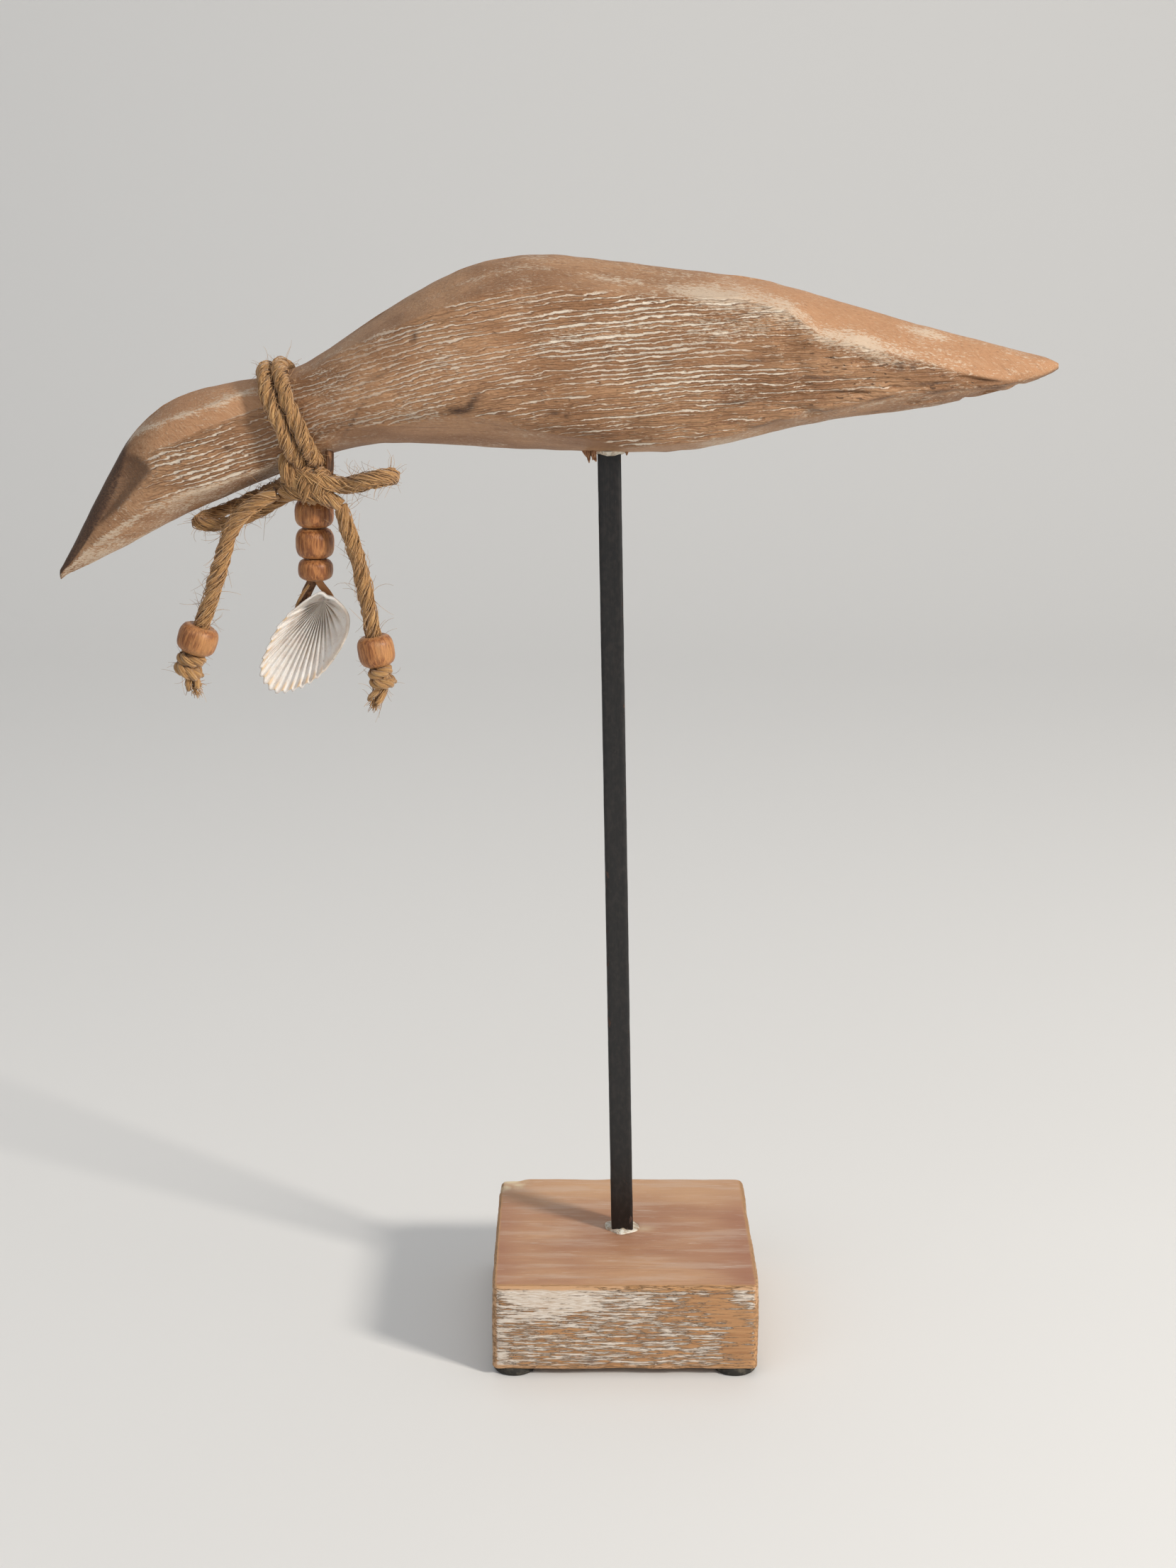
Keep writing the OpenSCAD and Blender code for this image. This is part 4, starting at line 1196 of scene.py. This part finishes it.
def base_block():
    """The block: square rings up its sides and in over its faces, with worn edges."""
    half, bevel, low_bevel = BLOCK_SIDE / 2, 1.3, 0.7
    square = square_ring(84)
    profile_rows = [(inset, BLOCK_LOW) for inset in np.linspace(half - 0.5, bevel + 0.4, 6)]
    for a in np.linspace(0, math.pi / 2, 5):
        profile_rows.append((low_bevel * (1 - math.sin(a)), BLOCK_LOW + low_bevel * (1 - math.cos(a))))
    profile_rows += [(0, z) for z in np.linspace(BLOCK_LOW + 1.2, BLOCK_HIGH - bevel - 0.7, 28)]
    for a in np.linspace(0, math.pi / 2, 6):
        profile_rows.append((bevel * (1 - math.cos(a)), BLOCK_HIGH - bevel * (1 - math.sin(a))))
    profile_rows += [(inset, BLOCK_HIGH) for inset in np.linspace(bevel + 0.8, half - 0.5, 40)]
    points, normals, top = [], [], []
    for inset, z in profile_rows:
        corner = max(0.3, 2.2 - inset)
        flat = square * (half - inset)
        core = np.clip(flat, -(half - inset - corner), half - inset - corner)
        off = flat - core
        off = off / np.maximum(np.linalg.norm(off, axis=1)[:, None], 1e-9)
        points.append(np.column_stack([core + corner * off, np.full(len(flat), z)]))
        upper_half = z > (BLOCK_LOW + BLOCK_HIGH) / 2
        face = 1 if z > BLOCK_HIGH - 0.01 and inset > bevel else -1 if z < BLOCK_LOW + 0.01 else 0
        tilt = face or min(inset, bevel) / bevel * (1 if upper_half else -1)
        normals.append(np.column_stack([off * math.sqrt(max(0, 1 - tilt * tilt)), np.full(len(flat), tilt)]))
        top.append(np.full(len(flat), smooth_step(np.array(inset), 0.3, 1.1) if upper_half else 0.0))
    points, normals, top = np.concatenate(points), np.concatenate(normals), np.concatenate(top)
    gaps = np.column_stack([half - np.abs(points[:, 0]), half - np.abs(points[:, 1]),
                            BLOCK_HIGH - points[:, 2], points[:, 2] - BLOCK_LOW])
    near = np.sort(gaps, axis=1)[:, 1]  # distance from the nearest edge
    sink = 0.10 + (0.30 - 0.22 * top) * (0.4 + field(points, 0.035, 0.08, 21))
    sink += 0.05 * field(points, 0.2, 0.5, 22)
    sink += np.exp(-near / 1.1) * (0.05 + 0.6 * np.clip(field(points, 0.13, 0.13, 23), 0, 1))
    sink += 0.12 * (1 - top) * np.clip(field(points, 0.06, 1.3, 24), -1, 1)
    torn = np.linalg.norm(points - np.array([-half + 2, half - 3, BLOCK_HIGH]), axis=1)
    chip = smooth_step(torn + 1.8 * field(points, 0.3, 0.3, 25), 7.5, 3.0)
    points = points - normals * np.maximum(sink, 0.02)[:, None]
    points[:, 2] -= 0.45 * chip
    points[:, :2] *= 1 - 0.012 * chip[:, None]
    x, y, z = points.T
    red = bump_at(x, half, 9) + bump_at(x, -half, 7) + 0.4 * bump_at(y, half, 8)
    coat = bump_at(x, -18, 15) * smooth_step(z, 12, 24) - 0.9 * bump_at(x, 25, 9) * bump_at(z, 20, 5)
    coat += 0.9 * bump_at(x, 31, 4) * bump_at(z, 23, 4) - 0.8 * bump_at(x, 30, 4) * bump_at(z, 9, 7)
    coat += 0.5 * bump_at(x, -33, 2.5) * smooth_step(z, 20, 8)
    dark = 0.75 * bump_at(x, -9, 1.1) * bump_at(z, 4.5, 1.0) * (1 - top)
    dark += 0.5 * bump_at(x, -33, 1.2) * bump_at(z, 10, 1.3) * (1 - top)
    # Painted shade: a ragged dark ring round the rod in place of the shaded gap of its hole.
    hole = np.hypot(x - ROD_FOOT[0], y - ROD_FOOT[1])
    broken = 0.6 + 0.4 * np.sin(3 * np.arctan2(y - ROD_FOOT[1], x))
    dark += 0.7 * bump_at(hole, 4.3, 0.6) * top * broken
    light = smooth_step(y, 10, 30)
    smear = 0.5 * bump_at(x, 5.5, 2.6) * bump_at(y, 0.5, 1.8) * top
    worn = np.exp(-(near / 1.9) ** 2)
    faces = grid_faces(len(profile_rows), len(square)) + cap_faces(len(profile_rows), len(square))
    piece("base", at_bird(in_stand(points)), faces, whitewashed_base(), "base_block", slot="base_wood",
          grain=points, top=top, worn=worn, red=np.clip(red, 0, 1), coat=coat,
          chip=np.clip(chip * (0.7 + field(points, 0.6, 0.6, 26)) + smear, 0, 1), light=light,
          dark=np.clip(dark, 0, 1))


FOOT_OUT = 29
ROD_UP = np.array([-math.sin(ROD_LEAN), 0, math.cos(ROD_LEAN)])


def rod_place(height):
    """A place on the rod's axis at a height along it from the base's top, in bird millimetres."""
    return in_stand([ROD_FOOT + [0, 0, BLOCK_HIGH]])[0] + height * ROD_UP


def support_rod():
    """The square rod, its corners worn and its paint chipped near both ends."""
    half, corner = 3.0, 0.55
    across = np.array([math.cos(ROD_LEAN), 0, math.sin(ROD_LEAN)])
    square = square_ring(8) * half
    core = np.clip(square, corner - half, half - corner)
    off = square - core
    off /= np.maximum(np.linalg.norm(off, axis=1)[:, None], 1e-9)
    ring = core + corner * off
    heights = np.linspace(-17.5, ROD_FREE + 22, 300)
    h, k = grid(heights, np.arange(len(ring)))
    flat = np.column_stack([h, ring[k]])
    worn = smooth_step(np.abs(ring[k]).min(axis=1), half - 1.1, half - 0.2)
    sink = 0.05 + 0.05 * field(flat, 0.25, 0.5, 31)
    sink += worn * 0.22 * np.clip(field(flat, 0.35, 0.6, 32), 0, 1)
    spots = ring[k] - off[k] * sink[:, None]
    points = rod_place(0) + h[:, None] * ROD_UP + spots[:, :1] * across + spots[:, 1:] * np.array([0, 1, 0])
    faces = grid_faces(len(heights), len(ring)) + cap_faces(len(heights), len(ring))
    ends = bump_at(h, 0, 6) + 0.7 * bump_at(h, ROD_FREE - 2, 5)
    piece("support_rod", at_bird(points), faces, black_paint(), "support_rod", slot="rod_paint",
          grain=flat, worn=np.clip(worn + ends, 0, 1.5))


def glue_collars():
    """Ragged glue round the rod at the base and at the belly, and splinters at the belly."""
    for name, height, way, wide in (("base_glue", 0.0, 1, 4.7), ("bird_glue", ROD_FREE + 0.3, -1, 4.6)):
        sides, rows = 64, 9
        f, a = grid(np.linspace(0, 1, rows), circle(sides))
        flat = np.column_stack([np.cos(a), np.sin(a), 0 * a]) * 3 + f[:, None]
        outer = wide + 0.9 * field(flat, 0.5, 0.5, 41 + way)
        r = 3.0 + (outer - 3.0) * (1 - f)
        rise = way * (0.1 + 0.8 * f * (1 + 0.6 * field(flat, 0.9, 0.9, 43 + way))) - way * 0.5 * (f == 0)
        points = rod_place(height) + np.column_stack([r * np.cos(a), r * np.sin(a), rise])
        piece(name, at_bird(points), grid_faces(rows, sides), GLUE, name, slot="glue", grain=flat * 1.7)
    belly = rod_place(ROD_FREE)
    rng = random.Random(53)
    splinters = Strands()
    for x, y, long in (
        (-4.4, -3.4, 3.6), (-5.4, -3.0, 3.9), (-6.2, -2.6, 2.9), (-3.8, -3.9, 3.0), (4.4, -3.0, 1.9)
    ):
        start = belly + np.array([x, y, 1.4])
        line = curl(rng, start, (rng.uniform(-0.3, 0.5), -0.15, -1), long, 0.5, 5)
        splinters.tube(line, np.array([1.0, 0.95, 0.8, 0.55, 0.15]), 6, flat=0.6)
    splinters.made("belly_splinters", splinter_wood(), slot="whitewashed_wood")


def feet():
    """Four soft-edged pads, as far in from each corner."""
    rows = [(0.3, 0), (4.6, 0), (5.35, 0.12), (5.6, 0.45), (5.7, 1.1), (5.68, 2.25), (0.3, 2.3)]
    paint = foot_rubber()
    places = [(end, side) for end in ("front", "rear") for side in ("left", "right")]
    for seed, (end, side) in enumerate(places, 61):
        name = f"foot_{end}_{side}"
        place = (-FOOT_OUT if side == "left" else FOOT_OUT, -FOOT_OUT if end == "front" else FOOT_OUT, 0)
        lathe(name, rows, in_stand([place])[0], (0, 0, 1), paint, 40, 0.03, seed,
              node=name, slot="foot_rubber")


carve_bird()
neck_turns()
bow_knot()
pendant()
shell_laces()
shell()
base_block()
support_rod()
glue_collars()
feet()


# ---------------------------------------------------------------- floor and light

def add_stage():
    """A pale floor that sweeps up into a pale wall, and a low sun from the right."""
    across, rows = 24, []
    for y in np.linspace(-1.6, 0.9, 20):
        rows.append((y, 0.0))
    for a in np.linspace(0, math.pi / 2, 16)[1:]:
        rows.append((0.9 + 0.7 * math.sin(a), 0.7 * (1 - math.cos(a))))
    rows.append((1.6, 3.0))
    points = [(x, y, z) for y, z in rows for x in np.linspace(-2.4, 2.4, across)]
    paint = Paint("floor", 0.75, Base_Color=(0.80, 0.785, 0.76, 1))
    faces = grid_faces(len(rows), across, around=False)
    piece("floor", points, faces, paint.material, body=None)
    for name, place, power_w, size, colour in (
        ("sun_side", (1.22, -0.86, 0.88), 25, 0.26, (1.0, 0.95, 0.88)),
        ("sky_fill", (-0.9, -1.2, 1.3), 6.5, 1.6, (0.90, 0.95, 1.0)),
        ("top_fill", (0.1, 0.3, 1.7), 5, 1.4, (1.0, 0.99, 0.97)),
    ):
        light = bpy.data.lights.new(name, "AREA")
        light.energy, light.size, light.color = power_w, size, colour
        lamp = bpy.data.objects.new(name, light)
        lamp.location = place
        lamp.rotation_euler = (Vector((0, 0, 0.16)) - Vector(place)).to_track_quat("-Z", "Y").to_euler()
        bpy.context.scene.collection.objects.link(lamp)
    bpy.context.scene.view_settings.view_transform = "Standard"
    world = bpy.data.worlds.new("studio")
    bpy.context.scene.world = world
    world.use_nodes = True
    world.node_tree.nodes["Background"].inputs["Color"].default_value = (0.80, 0.84, 0.90, 1)
    world.node_tree.nodes["Background"].inputs["Strength"].default_value = 0.36


add_stage()
